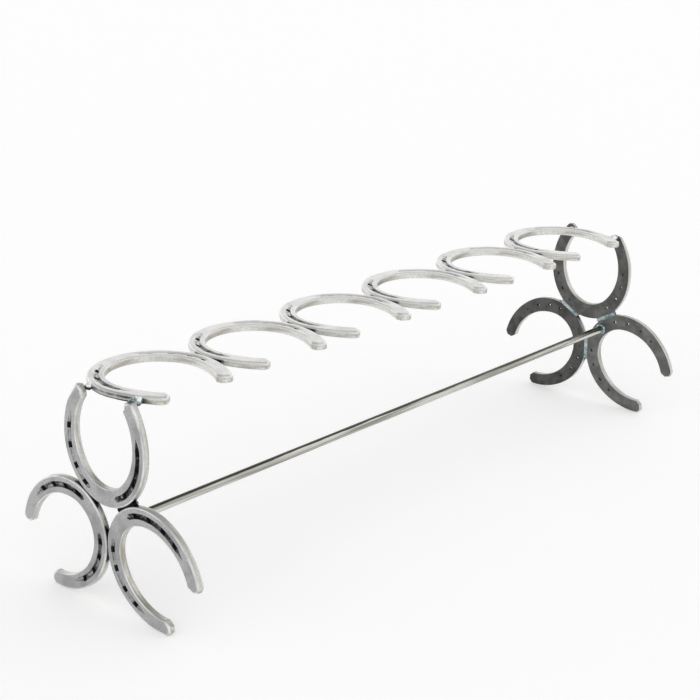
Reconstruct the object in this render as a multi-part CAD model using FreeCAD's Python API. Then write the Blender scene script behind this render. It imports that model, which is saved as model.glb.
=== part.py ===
# Horseshoe boot rack, in millimetres.
#
# Six flat cradle shoes stand side by side in one row and each takes a boot's shaft. Outside each end, a stand
# of three smaller shoes carries the row: two on the floor and one on top of them. A round rod ties the
# stands together low at the front, where the boots' heels hook on. Welds join everything.
#
# X runs along the rack, the boots go in from the front at -Y, and Z is up. The origin is on the floor under
# the middle of the rack. A bearing on a shoe is the direction from the centre of curvature, in degrees: 0 at
# the middle of the toe and growing along the branch towards the heel.
import FreeCAD, Part

import math
import os
from dataclasses import dataclass

from FreeCAD import Rotation, Vector

# Every shoe
SHOE_THICKNESS = 8.0
HEEL_REACH = 6.5           # from the end of the branch's arcs to the heel's flat end
HEEL_OUTER_CUT = 3.0       # legs of the heel's cut corners
HEEL_INNER_CUT = 4.8
HEEL_CORNER_RADIUS = 2.2   # rounding between the heel's cuts
GROUND_EDGE_BREAK = 1.6    # chamfer round the creased face
FOOT_EDGE_BREAK = 0.8      # chamfer round the plain face

# The crease, a groove along each branch of the ground face, with the nail holes punched through its floor
CREASE_INSET = 9.5         # from the shoe's outer edge to the middle of the crease's mouth
CREASE_WIDTH = 6.0
CREASE_FLOOR_WIDTH = 2.5
CREASE_FLOOR_SHIFT = 1.15  # how far inwards the floor lies, which makes the crease's inner wall the steeper
CREASE_DEPTH = 4.2
CREASE_START = 26.0        # bearings between which the crease has its full section
CREASE_END = 98.0
CREASE_TOE_RUN_OUT = 3.5   # degrees over which it fades out at each end
CREASE_HEEL_RUN_OUT = 9.0
CREASE_TIP_SHARE = 0.15    # how much of the section is left at the faded tip
NAIL_BEARINGS = (37.0, 57.5, 77.0, 94.0)
NAIL_HOLE_LENGTH = 6.0     # along the crease, at the ground face
NAIL_HOLE_WIDTH = 5.0
NAIL_HOLE_EXIT_LENGTH = 4.0
NAIL_HOLE_EXIT_WIDTH = 2.6

# The larger shoes, which lie flat and take the boots
CRADLE_COUNT = 6
CRADLE_TOE_RADIUS = 69.2
CRADLE_QUARTER_RADIUS = 71.8
CRADLE_BRANCH_RADIUS = 123.2
CRADLE_TOE_BEARING = 52.5
CRADLE_QUARTER_BEARING = 98.8
CRADLE_HEEL_BEARING = 124.2
CRADLE_TOE_WEB = 18.4
CRADLE_HEEL_WEB = 17.9

# The smaller shoes of the stands
STAND_TOE_RADIUS = 57.8
STAND_QUARTER_RADIUS = 71.2
STAND_BRANCH_RADIUS = 87.0
STAND_TOE_BEARING = 49.0
STAND_QUARTER_BEARING = 86.3
STAND_HEEL_BEARING = 128.2
STAND_TOE_WEB = 20.3
STAND_HEEL_WEB = 16.6

# How the shoes stand together
WELD_GAP = 0.8             # left between two shoes that are welded edge to edge
FLOOR_SHOE_SPLAY = 35.7    # how far the floor shoes' openings point below the level
TOP_SHOE_LEAN = 4.0        # how far the top shoe's opening tips forward from upright
ROW_SET_BACK = 6.0         # centre of the row's toe arcs behind the middle of the stands
TIP_RISE = 1.8             # mean height of the top shoe's heel tips above the row's top face
STAND_CLEARANCE = 0.4      # between the end cradle shoe's widest point and the stand's inner face

# The rod
ROD_DIAMETER = 9.5
ROD_BEARING = 7.0          # where on the front shoe's toe the rod is welded

# Weld beads
SEAM_BEAD_RADIUS = 3.7
SEAM_BEAD_LENGTH = 33.0
SEAM_BEAD_CROWN = 1.5      # height above the faces it was laid on
HEEL_BEAD_RADIUS = 5.2
HEEL_BEAD_BITE = 4.0       # how far the bead runs on over each shoe
BEAD_END_SHARE = 0.6       # chamfer of a bead's ends, as a share of its radius
ROD_BEAD_LEG = 3.0

OVERCUT = 0.5              # how far a cutter runs past the face that it opens


@dataclass(frozen=True)
class ShoeSize:
    """One size of horseshoe, by its outer edge's three arcs on each side and its web's width."""

    toe_radius: float
    quarter_radius: float
    branch_radius: float
    toe_bearing: float
    quarter_bearing: float
    heel_bearing: float
    toe_web: float
    heel_web: float


@dataclass(frozen=True)
class EdgeArc:
    """An arc of a shoe's right edge, from one bearing to the next."""

    centre: Vector
    radius: float
    start: float
    end: float

    def point(self, bearing, inset=0.0):
        """Return the point at a bearing, moved inwards by the inset."""
        return self.centre + outward(bearing) * (self.radius - inset)


CRADLE = ShoeSize(
    CRADLE_TOE_RADIUS, CRADLE_QUARTER_RADIUS, CRADLE_BRANCH_RADIUS,
    CRADLE_TOE_BEARING, CRADLE_QUARTER_BEARING, CRADLE_HEEL_BEARING,
    CRADLE_TOE_WEB, CRADLE_HEEL_WEB,
)
STAND = ShoeSize(
    STAND_TOE_RADIUS, STAND_QUARTER_RADIUS, STAND_BRANCH_RADIUS,
    STAND_TOE_BEARING, STAND_QUARTER_BEARING, STAND_HEEL_BEARING,
    STAND_TOE_WEB, STAND_HEEL_WEB,
)


def outward(bearing):
    """Return the unit vector that points out of the shoe's edge at a bearing."""
    angle = math.radians(bearing)
    return Vector(math.sin(angle), math.cos(angle), 0.0)


def along(bearing):
    """Return the unit vector along the right branch towards the heel at a bearing."""
    angle = math.radians(bearing)
    return Vector(math.cos(angle), -math.sin(angle), 0.0)


def cross(first, second):
    """Return the cross product of two plane vectors."""
    return first.x * second.y - first.y * second.x


def tangent_arcs(toe_radius, quarter_radius, branch_radius, size):
    """Return three arcs that run on smoothly from the toe to the heel, the first centred on the origin."""
    bearings = (0.0, size.toe_bearing, size.quarter_bearing, size.heel_bearing)
    centre = Vector(0.0, 0.0, 0.0)
    previous = toe_radius
    arcs = []
    for index, radius in enumerate((toe_radius, quarter_radius, branch_radius)):
        centre = centre + outward(bearings[index]) * (previous - radius)
        arcs.append(EdgeArc(centre, radius, bearings[index], bearings[index + 1]))
        previous = radius
    return arcs


def outer_arcs(size):
    """Return the outer edge's arcs on the right side."""
    return tangent_arcs(size.toe_radius, size.quarter_radius, size.branch_radius, size)


def inner_arcs(size):
    """Return the inner edge's arcs, whose radii taper the web from its toe width to its heel width."""
    toe = outward(size.toe_bearing)
    quarter = outward(size.quarter_bearing)
    heel = outward(size.heel_bearing)
    taper = heel * (size.toe_web - size.heel_web)
    over_quarter = quarter - toe
    over_branch = heel - quarter
    scale = cross(over_quarter, over_branch)
    quarter_gain = cross(taper, over_branch) / scale
    branch_gain = cross(over_quarter, taper) / scale
    return tangent_arcs(
        size.toe_radius - size.toe_web,
        size.quarter_radius - size.toe_web + quarter_gain,
        size.branch_radius - size.toe_web + branch_gain,
        size,
    )


def arc_at(arcs, bearing):
    """Return the arc that holds a bearing."""
    return next(arc for arc in arcs if bearing <= arc.end)


def edge_between(first, middle, last):
    """Return the arc edge through three points."""
    return Part.Arc(first, middle, last).toShape()


def mirrored(point):
    """Return a plan point on the shoe's left side."""
    return Vector(-point.x, point.y, point.z)


def heel_points(size):
    """Return the corners of the right heel's outline, from the outer edge to the inner edge."""
    bearing = size.heel_bearing
    out = outward(bearing)
    run = along(bearing)
    outer = outer_arcs(size)[-1].point(bearing)
    inner = outer - out * size.heel_web
    return (
        outer,
        outer + run * (HEEL_REACH - HEEL_OUTER_CUT),
        outer - out * HEEL_OUTER_CUT + run * HEEL_REACH,
        inner + out * HEEL_INNER_CUT + run * HEEL_REACH,
        inner + run * (HEEL_REACH - HEEL_INNER_CUT),
        inner,
    )


def outline(size):
    """Return the closed outline of a shoe in plan, toe towards +Y."""
    edges = []
    for arcs in (outer_arcs(size), inner_arcs(size)):
        toe = arcs[0]
        right = toe.point(toe.end)
        edges.append(edge_between(mirrored(right), toe.point(0.0), right))
        for arc in arcs[1:]:
            points = [arc.point(b) for b in (arc.start, (arc.start + arc.end) / 2.0, arc.end)]
            edges.append(edge_between(*points))
            edges.append(edge_between(*(mirrored(p) for p in points)))
    heel = heel_points(size)
    for points in (heel, tuple(mirrored(p) for p in heel)):
        edges += [Part.makeLine(*pair) for pair in zip(points, points[1:])]
    return Part.Wire(Part.__sortEdges__(edges))


def crease_section(arc, bearing, share):
    """Return the crease's cross-section at a bearing, with a share of its full width and depth."""
    depth = CREASE_DEPTH * share
    half_mouth = CREASE_WIDTH * share / 2.0
    half_floor = CREASE_FLOOR_WIDTH * share / 2.0
    floor_middle = CREASE_INSET + CREASE_FLOOR_SHIFT * share
    floor = Vector(0.0, 0.0, SHOE_THICKNESS - depth)
    mouth = Vector(0.0, 0.0, SHOE_THICKNESS)
    outer_floor = arc.point(bearing, floor_middle - half_floor) + floor
    inner_floor = arc.point(bearing, floor_middle + half_floor) + floor
    outer_lip = arc.point(bearing, CREASE_INSET - half_mouth) + mouth
    inner_lip = arc.point(bearing, CREASE_INSET + half_mouth) + mouth
    past_face = 1.0 + OVERCUT / depth
    corners = (
        outer_floor + (outer_lip - outer_floor) * past_face,
        outer_floor,
        inner_floor,
        inner_floor + (inner_lip - inner_floor) * past_face,
    )
    return Part.makePolygon(corners + corners[:1])


def crease_cutter(size):
    """Return the pieces that cut the right branch's crease."""
    arcs = outer_arcs(size)
    pieces = []
    for arc in arcs:
        start = max(arc.start, CREASE_START)
        end = min(arc.end, CREASE_END)
        if end > start:
            section = Part.Face(crease_section(arc, start, 1.0))
            pieces.append(section.revolve(arc.centre, Vector(0.0, 0.0, -1.0), end - start))
    for full, faded in (
        (CREASE_START, CREASE_START - CREASE_TOE_RUN_OUT),
        (CREASE_END, CREASE_END + CREASE_HEEL_RUN_OUT),
    ):
        sections = [
            crease_section(arc_at(arcs, full), full, 1.0),
            crease_section(arc_at(arcs, faded), faded, CREASE_TIP_SHARE),
        ]
        pieces.append(Part.makeLoft(sections, True, True))
    return pieces


def nail_rectangle(arc, bearing, length, width, height):
    """Return a rectangle across the crease at a bearing and a height."""
    centre = arc.point(bearing, CREASE_INSET) + Vector(0.0, 0.0, height)
    half_run = along(bearing) * (length / 2.0)
    half_out = outward(bearing) * (width / 2.0)
    corners = (
        centre + half_run + half_out,
        centre + half_run - half_out,
        centre - half_run - half_out,
        centre - half_run + half_out,
    )
    return Part.makePolygon(corners + corners[:1])


def nail_cutters(size):
    """Return the tapered punches of the right branch's nail holes."""
    arcs = outer_arcs(size)
    punches = []
    for bearing in NAIL_BEARINGS:
        arc = arc_at(arcs, bearing)
        entry = nail_rectangle(arc, bearing, NAIL_HOLE_LENGTH, NAIL_HOLE_WIDTH, SHOE_THICKNESS + OVERCUT)
        leave = nail_rectangle(arc, bearing, NAIL_HOLE_EXIT_LENGTH, NAIL_HOLE_EXIT_WIDTH, -OVERCUT)
        punches.append(Part.makeLoft([entry, leave], True, True))
    return punches


def round_heels(prism, size):
    """Return the prism with the corners between its heels' cuts rounded."""
    corners = heel_points(size)[1:5]
    corners += tuple(mirrored(point) for point in corners)
    uprights = []
    for edge in prism.Edges:
        top, bottom = edge.Vertexes[0].Point, edge.Vertexes[-1].Point
        at_corner = any(math.hypot(top.x - c.x, top.y - c.y) < 1e-6 for c in corners)
        if at_corner and math.hypot(top.x - bottom.x, top.y - bottom.y) < 1e-6:
            uprights.append(edge)
    return prism.makeFillet(HEEL_CORNER_RADIUS, uprights)


def break_edges(prism, height, width):
    """Return the prism with its edges at a height chamfered."""
    rim = [edge for edge in prism.Edges if all(abs(v.Z - height) < 1e-6 for v in edge.Vertexes)]
    return prism.makeChamfer(width, rim)


def horseshoe(size):
    """Return a shoe lying on its plain face at the origin, toe towards +Y and creased face up."""
    body = Part.Face(outline(size)).extrude(Vector(0.0, 0.0, SHOE_THICKNESS))
    body = round_heels(body, size)
    body = break_edges(body, SHOE_THICKNESS, GROUND_EDGE_BREAK)
    body = break_edges(body, 0.0, FOOT_EDGE_BREAK)
    cutters = crease_cutter(size) + nail_cutters(size)
    across = Vector(1.0, 0.0, 0.0)
    cutters += [cutter.mirror(Vector(0.0, 0.0, 0.0), across) for cutter in cutters]
    for cutter in cutters:
        body = body.cut(cutter)
    return body


def half_width(size):
    """Return the distance from a shoe's middle line to its widest point."""
    return arc_at(outer_arcs(size), 90.0).point(90.0).x


def wall_offset(size, reach):
    """Return how far out the outer edge lies where it is a given distance towards the toe."""
    for arc in outer_arcs(size):
        if arc.point(arc.end).y <= reach <= arc.point(arc.start).y:
            return arc.centre.x + math.sqrt(arc.radius ** 2 - (reach - arc.centre.y) ** 2)
    return half_width(size)


def heel_reach(size):
    """Return the distance from the toe arc's centre back to the ends of the heels."""
    return -min(point.y for point in heel_points(size))


def upright(shoe, toe_angle):
    """Return a shoe stood on edge facing -X, its toe turned from +Y towards +Z by the angle."""
    turned = shoe.copy()
    turned.rotate(Vector(0.0, 0.0, 0.0), Vector(0.0, 1.0, 0.0), -90.0)
    turned.rotate(Vector(0.0, 0.0, 0.0), Vector(1.0, 0.0, 0.0), toe_angle)
    return turned


def laid_bead(start, end, radius, pieces):
    """Return a round bar with chamfered ends, cut to seat on the pieces that it joins."""
    axis = end - start
    bar = Part.makeCylinder(radius, axis.Length, start, axis)
    bar = bar.makeChamfer(radius * BEAD_END_SHARE, [edge for edge in bar.Edges if edge.isClosed()])
    for piece in pieces:
        bar = bar.cut(piece)
    return max(bar.Solids, key=lambda solid: solid.Volume)


# Places that follow from the sizes
CRADLE_PITCH = 2.0 * half_width(CRADLE) + WELD_GAP
CRADLE_CENTRES = [(index - (CRADLE_COUNT - 1) / 2.0) * CRADLE_PITCH for index in range(CRADLE_COUNT)]
STAND_FACE = CRADLE_CENTRES[0] - half_width(CRADLE) - STAND_CLEARANCE
STAND_PITCH = 2.0 * STAND_TOE_RADIUS + WELD_GAP
BEAD_DEPTH = SEAM_BEAD_RADIUS - SEAM_BEAD_CROWN


def floor_height(stand_shoe):
    """Return the height of the floor shoes' toe centres, which puts their branches on the floor."""
    return -upright(stand_shoe, FLOOR_SHOE_SPLAY).optimalBoundingBox().ZMin


def stand_centres(base_height):
    """Return the toe centre of each of the left stand's shoes, in the plane of the stand's inner face."""
    top_height = base_height + STAND_PITCH * math.sqrt(0.75)
    return {
        "top": Vector(STAND_FACE, 0.0, top_height),
        "rear": Vector(STAND_FACE, STAND_PITCH / 2.0, base_height),
        "front": Vector(STAND_FACE, -STAND_PITCH / 2.0, base_height),
    }


def left_stand_shoes(stand_shoe, centres):
    """Return the left stand's three shoes in place."""
    toe_angles = {
        "top": TOP_SHOE_LEAN - 90.0,
        "rear": 180.0 - FLOOR_SHOE_SPLAY,
        "front": FLOOR_SHOE_SPLAY,
    }
    shoes = {}
    for name, angle in toe_angles.items():
        shoe = upright(stand_shoe, angle)
        shoe.translate(centres[name])
        shoes[name] = shoe
    return shoes


def seam_bead(first, second, middle, run, inward):
    """Return the bead in the valley between two touching shoes, crowned on the side it was laid from."""
    centre = middle - inward * BEAD_DEPTH
    half = run * (SEAM_BEAD_LENGTH / 2.0)
    return laid_bead(centre - half, centre + half, SEAM_BEAD_RADIUS, (first, second))


def stand_seam_beads(shoes, centres):
    """Return the left stand's three seam beads, laid from the rack's inner side."""
    inward = Vector(1.0, 0.0, 0.0)
    beads = {}
    for first, second in (("top", "rear"), ("top", "front"), ("rear", "front")):
        middle = (centres[first] + centres[second]) * 0.5
        run = (centres[second] - centres[first]).cross(inward).normalize()
        beads[f"{first}_{second}"] = seam_bead(shoes[first], shoes[second], middle, run, inward)
    return beads


def heel_tips(centre):
    """Return the middle of each heel's end of the top shoe, on its inner face."""
    points = heel_points(STAND)
    tip = (points[0] + points[5]) * 0.5 + along(STAND_HEEL_BEARING) * (HEEL_REACH / 2.0)
    turn = Rotation(Vector(1.0, 0.0, 0.0), TOP_SHOE_LEAN - 90.0)
    return {
        "rear": centre + turn.multVec(Vector(0.0, tip.y, tip.x)),
        "front": centre + turn.multVec(Vector(0.0, tip.y, -tip.x)),
    }


def heel_bead(tip, cradle_centre, row_top, pieces):
    """Return the bead that fills the recess between a heel tip and the end cradle shoe's wall."""
    wall = cradle_centre.x - wall_offset(CRADLE, tip.y - cradle_centre.y)
    height = row_top - SHOE_THICKNESS / 2.0
    start = Vector(tip.x - HEEL_BEAD_BITE, tip.y, height)
    end = Vector(wall + HEEL_BEAD_BITE, tip.y, height)
    return laid_bead(start, end, HEEL_BEAD_RADIUS, pieces)


def rod_bead(centre):
    """Return the fillet weld round the rod's left end."""
    radius = ROD_DIAMETER / 2.0
    cone = Part.makeCone(radius + ROD_BEAD_LEG, radius, ROD_BEAD_LEG, centre, Vector(1.0, 0.0, 0.0))
    return cone.cut(Part.makeCylinder(radius, ROD_BEAD_LEG, centre, Vector(1.0, 0.0, 0.0)))


def rod_end(centres):
    """Return the rod's left end, on the web's centre line behind the front shoe's toe."""
    turn = Rotation(Vector(1.0, 0.0, 0.0), FLOOR_SHOE_SPLAY + ROD_BEARING)
    return centres["front"] + turn.multVec(Vector(0.0, STAND_TOE_RADIUS - STAND_TOE_WEB / 2.0, 0.0))


def opposite(shape):
    """Return the right-hand copy of a left-hand piece."""
    return shape.mirror(Vector(0.0, 0.0, 0.0), Vector(1.0, 0.0, 0.0))


def row_of_cradles(row_top):
    """Return the six cradle shoes in place."""
    shoe = horseshoe(CRADLE)
    cradles = []
    for x in CRADLE_CENTRES:
        cradle = shoe.copy()
        cradle.translate(Vector(x, ROW_SET_BACK, row_top - SHOE_THICKNESS))
        cradles.append(cradle)
    return cradles


def cradle_beads(cradles, row_top):
    """Return the five beads under the row, where neighbouring shoes touch."""
    widest = arc_at(outer_arcs(CRADLE), 90.0).point(90.0)
    beads = []
    for index in range(CRADLE_COUNT - 1):
        x = (CRADLE_CENTRES[index] + CRADLE_CENTRES[index + 1]) / 2.0
        middle = Vector(x, ROW_SET_BACK + widest.y, row_top - SHOE_THICKNESS)
        pair = (cradles[index], cradles[index + 1])
        beads.append(seam_bead(*pair, middle, Vector(0.0, 1.0, 0.0), Vector(0.0, 0.0, -1.0)))
    return beads


def build():
    """Return every piece of the rack by name."""
    stand_shoe = horseshoe(STAND)
    centres = stand_centres(floor_height(stand_shoe))
    stand_shoes = left_stand_shoes(stand_shoe, centres)
    row_top = centres["top"].z + heel_reach(STAND) * math.cos(math.radians(TOP_SHOE_LEAN)) - TIP_RISE
    cradles = row_of_cradles(row_top)

    pieces = {}
    for index, cradle in enumerate(cradles, start=1):
        pieces[f"cradle_shoe_{index}"] = cradle
    for index, bead in enumerate(cradle_beads(cradles, row_top), start=1):
        pieces[f"cradle_weld_{index}_{index + 1}"] = bead

    left = {}
    for name, shoe in stand_shoes.items():
        left[f"stand_{name}_shoe"] = shoe
    for name, bead in stand_seam_beads(stand_shoes, centres).items():
        left[f"seam_weld_{name}"] = bead
    end_cradle = Vector(CRADLE_CENTRES[0], ROW_SET_BACK, row_top)
    for name, tip in heel_tips(centres["top"]).items():
        joined = (stand_shoes["top"], cradles[0])
        left[f"heel_weld_{name}"] = heel_bead(tip, end_cradle, row_top, joined)
    left_end = rod_end(centres)
    left["rod_weld"] = rod_bead(left_end)
    for name, shape in left.items():
        pieces[f"left_{name}"] = shape
        pieces[f"right_{name}"] = opposite(shape)

    rod_length = -2.0 * left_end.x
    pieces["heel_rod"] = Part.makeCylinder(ROD_DIAMETER / 2.0, rod_length, left_end, Vector(1.0, 0.0, 0.0))
    return pieces


os.makedirs("parts", exist_ok=True)
for node, piece in build().items():
    piece.exportStep(f"parts/{node}.step")
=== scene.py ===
"""Horseshoe boot rack in bare steel.

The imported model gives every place. Each horseshoe, weld and rod is modelled again here with rounded edges,
forging marks and its own finish, and stands for the node at that place. Shapes are drawn in millimetres,
lying flat at the origin, and are brought to metres when they are set in place.
"""

import functools
import logging
import math
from dataclasses import dataclass, replace
from enum import Enum
from typing import ClassVar

import bmesh
import bpy
from mathutils import Matrix, Vector, noise


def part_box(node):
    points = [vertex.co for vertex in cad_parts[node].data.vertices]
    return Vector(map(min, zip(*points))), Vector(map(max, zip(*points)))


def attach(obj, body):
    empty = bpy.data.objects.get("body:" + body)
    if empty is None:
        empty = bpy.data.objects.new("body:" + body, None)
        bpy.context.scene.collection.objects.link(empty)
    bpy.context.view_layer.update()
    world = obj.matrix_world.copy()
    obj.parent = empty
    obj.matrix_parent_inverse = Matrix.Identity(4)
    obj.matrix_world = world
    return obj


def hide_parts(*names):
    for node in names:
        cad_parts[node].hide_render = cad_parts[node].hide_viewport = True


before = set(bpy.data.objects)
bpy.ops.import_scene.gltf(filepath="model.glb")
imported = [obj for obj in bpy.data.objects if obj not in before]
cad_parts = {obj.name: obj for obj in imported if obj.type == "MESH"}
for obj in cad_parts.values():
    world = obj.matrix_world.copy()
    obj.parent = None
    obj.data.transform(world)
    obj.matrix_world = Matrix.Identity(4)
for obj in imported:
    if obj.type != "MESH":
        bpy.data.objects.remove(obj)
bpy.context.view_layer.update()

LOG = logging.getLogger("boot_rack")
BODY = "root"
MM = 0.001
ORIGIN = Vector((0.0, 0.0, 0.0))
ACROSS = Vector((1.0, 0.0, 0.0))
UP = Vector((0.0, 0.0, 1.0))
SPIN_AXIS = Vector((0.0, 0.0, -1.0))
MERGE_GAP = 0.001
NAME_SEED = 0.37
SHARP_ANGLE = 38.0

Span = tuple[float, float]
Triple = tuple[float, float, float]
Colour = Triple
Socket = bpy.types.NodeSocket
Shape = bmesh.types.BMesh
Vert = bmesh.types.BMVert
Edge = bmesh.types.BMEdge
Box = tuple[Vector, Vector]

UNIT: Span = (0.0, 1.0)
FALL: Span = (1.0, 0.0)
WHITE = (1.0, 1.0, 1.0, 1.0)


class Side(Enum):
    """The end of the rack that a piece belongs to."""

    LEFT = "left"
    RIGHT = "right"


class Turned(Enum):
    """A part of a stand that has a name and an angle in degrees."""

    @property
    def label(self) -> str:
        """Return the part's name."""
        return self.value[0]

    @property
    def angle(self) -> float:
        """Return the part's angle in degrees."""
        return self.value[1]


class Place(Turned):
    """A shoe's place in a stand, with the turn of its toe from the back towards the top."""

    TOP = ("top", -86.0)
    REAR = ("rear", 144.3)
    FRONT = ("front", 35.7)


class Seam(Turned):
    """A seam of a stand, with the rise of its run above the level towards the back."""

    TOP_REAR = ("top_rear", 30.0)
    TOP_FRONT = ("top_front", -30.0)
    REAR_FRONT = ("rear_front", 90.0)


class Face(Enum):
    """The finishes of a shoe's faces, in the order of its material slots."""

    WORN = 0
    PUNCHED = 1
    FOOT = 2


# ---------------------------------------------------------------------------------------------- materials


@dataclass(frozen=True)
class Pattern:
    """A noise on a piece, the band of it that counts and what that band is brought to.

    A stretched pattern has its scale along each axis in the stretch. The relief is the height in metres that the
    whole noise stands for as a bump, and how much of that shows.
    """

    scale: float = 1.0
    detail: float = 3.0
    band: Span = UNIT
    result: Span = UNIT
    stretch: Triple = (1.0, 1.0, 1.0)
    attribute: str = ""
    relief: Span = (0.0, 0.0)


class Nodes:
    """A material's or world's node tree, built up with short calls."""

    NOISE_ROUGHNESS = 0.55
    COAT_ROUGHNESS = 0.14

    def __init__(self, owner: bpy.types.ID) -> None:
        """Empty the owner's tree.

        Args:
            owner: The material or world.
        """
        owner.use_nodes = True
        self.tree = owner.node_tree
        self.tree.nodes.clear()
        self.places: dict[tuple[Triple, str], Socket] = {}
        self.noises: dict[Pattern, Socket] = {}

    def add(self, kind: str, **values: object) -> bpy.types.Node:
        """Add a node.

        Args:
            kind: The node's type.
            **values: Its properties, and its inputs by name with underscores for spaces.

        Returns:
            The node.
        """
        node = self.tree.nodes.new(kind)
        for name, value in values.items():
            if hasattr(node, name):
                setattr(node, name, value)
            else:
                node.inputs[name.replace("_", " ")].default_value = value
        return node

    def link(self, source: Socket, target: Socket) -> None:
        """Join two sockets."""
        self.tree.links.new(source, target)

    def coordinates(self, stretch: Triple, attribute: str) -> Socket:
        """Return stretched coordinates, made once.

        Args:
            stretch: The scale along each axis.
            attribute: The vector attribute to read, or nothing for the object's own coordinates.

        Returns:
            The vector's socket.
        """
        key = (stretch, attribute)
        if key not in self.places:
            if attribute:
                source = self.add("ShaderNodeAttribute", attribute_name=attribute).outputs["Vector"]
            else:
                source = self.add("ShaderNodeTexCoord").outputs["Object"]
            mapping = self.add("ShaderNodeMapping", Scale=stretch)
            self.link(source, mapping.inputs["Vector"])
            self.places[key] = mapping.outputs["Vector"]
        return self.places[key]

    def raw(self, pattern: Pattern) -> Socket:
        """Return a pattern's plain noise, made once.

        Args:
            pattern: The pattern.

        Returns:
            The noise's socket.
        """
        if pattern not in self.noises:
            texture = self.add(
                "ShaderNodeTexNoise", Scale=pattern.scale, Detail=pattern.detail, Roughness=self.NOISE_ROUGHNESS
            )
            self.link(self.coordinates(pattern.stretch, pattern.attribute), texture.inputs["Vector"])
            self.noises[pattern] = texture.outputs["Fac"]
        return self.noises[pattern]

    def pattern(self, pattern: Pattern) -> Socket:
        """Return a pattern with its band brought to its result."""
        return self.spread(self.raw(pattern), pattern.band, pattern.result)

    def spread(self, value: Socket, band: Span = UNIT, result: Span = UNIT) -> Socket:
        """Return a value brought smoothly from one range to another.

        Args:
            value: The value's socket.
            band: The values that give the ends of the result.
            result: The ends of the result.

        Returns:
            The result's socket.
        """
        ramp = self.add("ShaderNodeMapRange", interpolation_type="SMOOTHSTEP")
        for index, number in enumerate((*band, *result), start=1):
            ramp.inputs[index].default_value = number
        self.link(value, ramp.inputs["Value"])
        return ramp.outputs["Result"]

    def ramp(self, value: Socket, stops: tuple[tuple[float, Colour], ...]) -> Socket:
        """Return a colour that follows a value.

        Args:
            value: The value's socket.
            stops: The places and colours of the ramp.

        Returns:
            The colour's socket.
        """
        node = self.add("ShaderNodeValToRGB")
        elements = node.color_ramp.elements
        while len(elements) < len(stops):
            elements.new(1.0)
        for element, (position, colour) in zip(elements, stops):
            element.position = position
            element.color = (*colour, 1.0)
        self.link(value, node.inputs["Fac"])
        return node.outputs["Color"]

    def mix(self, share: Socket, first: Socket | Colour, second: Socket | Colour, blend: str = "MIX") -> Socket:
        """Return a blend of two colours.

        Args:
            share: The socket with the second colour's share.
            first: The first colour or its socket.
            second: The second colour or its socket.
            blend: The kind of blend.

        Returns:
            The colour's socket.
        """
        node = self.add("ShaderNodeMix", data_type="RGBA", blend_type=blend)
        self.link(share, node.inputs["Factor"])
        for name, colour in (("A", first), ("B", second)):
            socket = next(s for s in node.inputs if s.name == name and s.type == "RGBA")
            if isinstance(colour, tuple):
                socket.default_value = (*colour, 1.0)
            else:
                self.link(colour, socket)
        return next(s for s in node.outputs if s.type == "RGBA")

    def combine(self, operation: str, first: Socket, second: Socket | float) -> Socket:
        """Return the result of a sum on two values.

        Args:
            operation: The sum's name.
            first: The first value's socket.
            second: The second value, or its socket.

        Returns:
            The result's socket.
        """
        node = self.add("ShaderNodeMath", operation=operation)
        self.link(first, node.inputs[0])
        if isinstance(second, (int, float)):
            node.inputs[1].default_value = second
        else:
            self.link(second, node.inputs[1])
        return node.outputs["Value"]

    def times(self, first: Socket, second: Socket | float) -> Socket:
        """Return one value times another."""
        return self.combine("MULTIPLY", first, second)

    def plus(self, first: Socket, *others: Socket) -> Socket:
        """Return the total of several values."""
        return functools.reduce(functools.partial(self.combine, "ADD"), others, first)

    def most(self, first: Socket, *others: Socket) -> Socket:
        """Return the largest of several values."""
        return functools.reduce(functools.partial(self.combine, "MAXIMUM"), others, first)

    def bump(self, height: Socket, relief: Span, under: Socket | None = None) -> Socket:
        """Return a normal that follows a height.

        Args:
            height: The height's socket.
            relief: The height in metres that a value of one stands for, and how much of it shows.
            under: The normal that it is laid over.

        Returns:
            The normal's socket.
        """
        node = self.add("ShaderNodeBump", Distance=relief[0], Strength=relief[1])
        self.link(height, node.inputs["Height"])
        if under is not None:
            self.link(under, node.inputs["Normal"])
        return node.outputs["Normal"]

    def relief(self, pattern: Pattern, under: Socket | None = None) -> Socket:
        """Return a normal with a pattern's relief laid over another."""
        return self.bump(self.raw(pattern), pattern.relief, under)

    def attribute(self, name: str) -> Socket:
        """Return the value of a piece's own attribute."""
        return self.add("ShaderNodeAttribute", attribute_name=name).outputs["Fac"]

    def parts(self, vector: Socket) -> tuple[Socket, Socket, Socket]:
        """Return the three values of a vector.

        Args:
            vector: The vector's socket.

        Returns:
            The three sockets.
        """
        node = self.add("ShaderNodeSeparateXYZ")
        self.link(vector, node.inputs["Vector"])
        return node.outputs["X"], node.outputs["Y"], node.outputs["Z"]

    def surface(self, colour: Socket, roughness: Socket, normal: Socket, metallic: float, coat: float = 0.0) -> None:
        """Finish the tree with a surface.

        Args:
            colour: The colour's socket.
            roughness: The roughness's socket.
            normal: The normal's socket.
            metallic: How metallic the surface is.
            coat: How much of a thin polished skin lies on it.
        """
        shader = self.add(
            "ShaderNodeBsdfPrincipled", Metallic=metallic, Coat_Weight=coat, Coat_Roughness=self.COAT_ROUGHNESS
        )
        for name, source in (("Base Color", colour), ("Roughness", roughness), ("Normal", normal)):
            self.link(source, shader.inputs[name])
        self.put_out(shader.outputs["BSDF"], "ShaderNodeOutputMaterial")

    def put_out(self, result: Socket, kind: str) -> None:
        """Join the tree's result to its output."""
        self.link(result, self.add(kind).inputs["Surface"])


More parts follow.
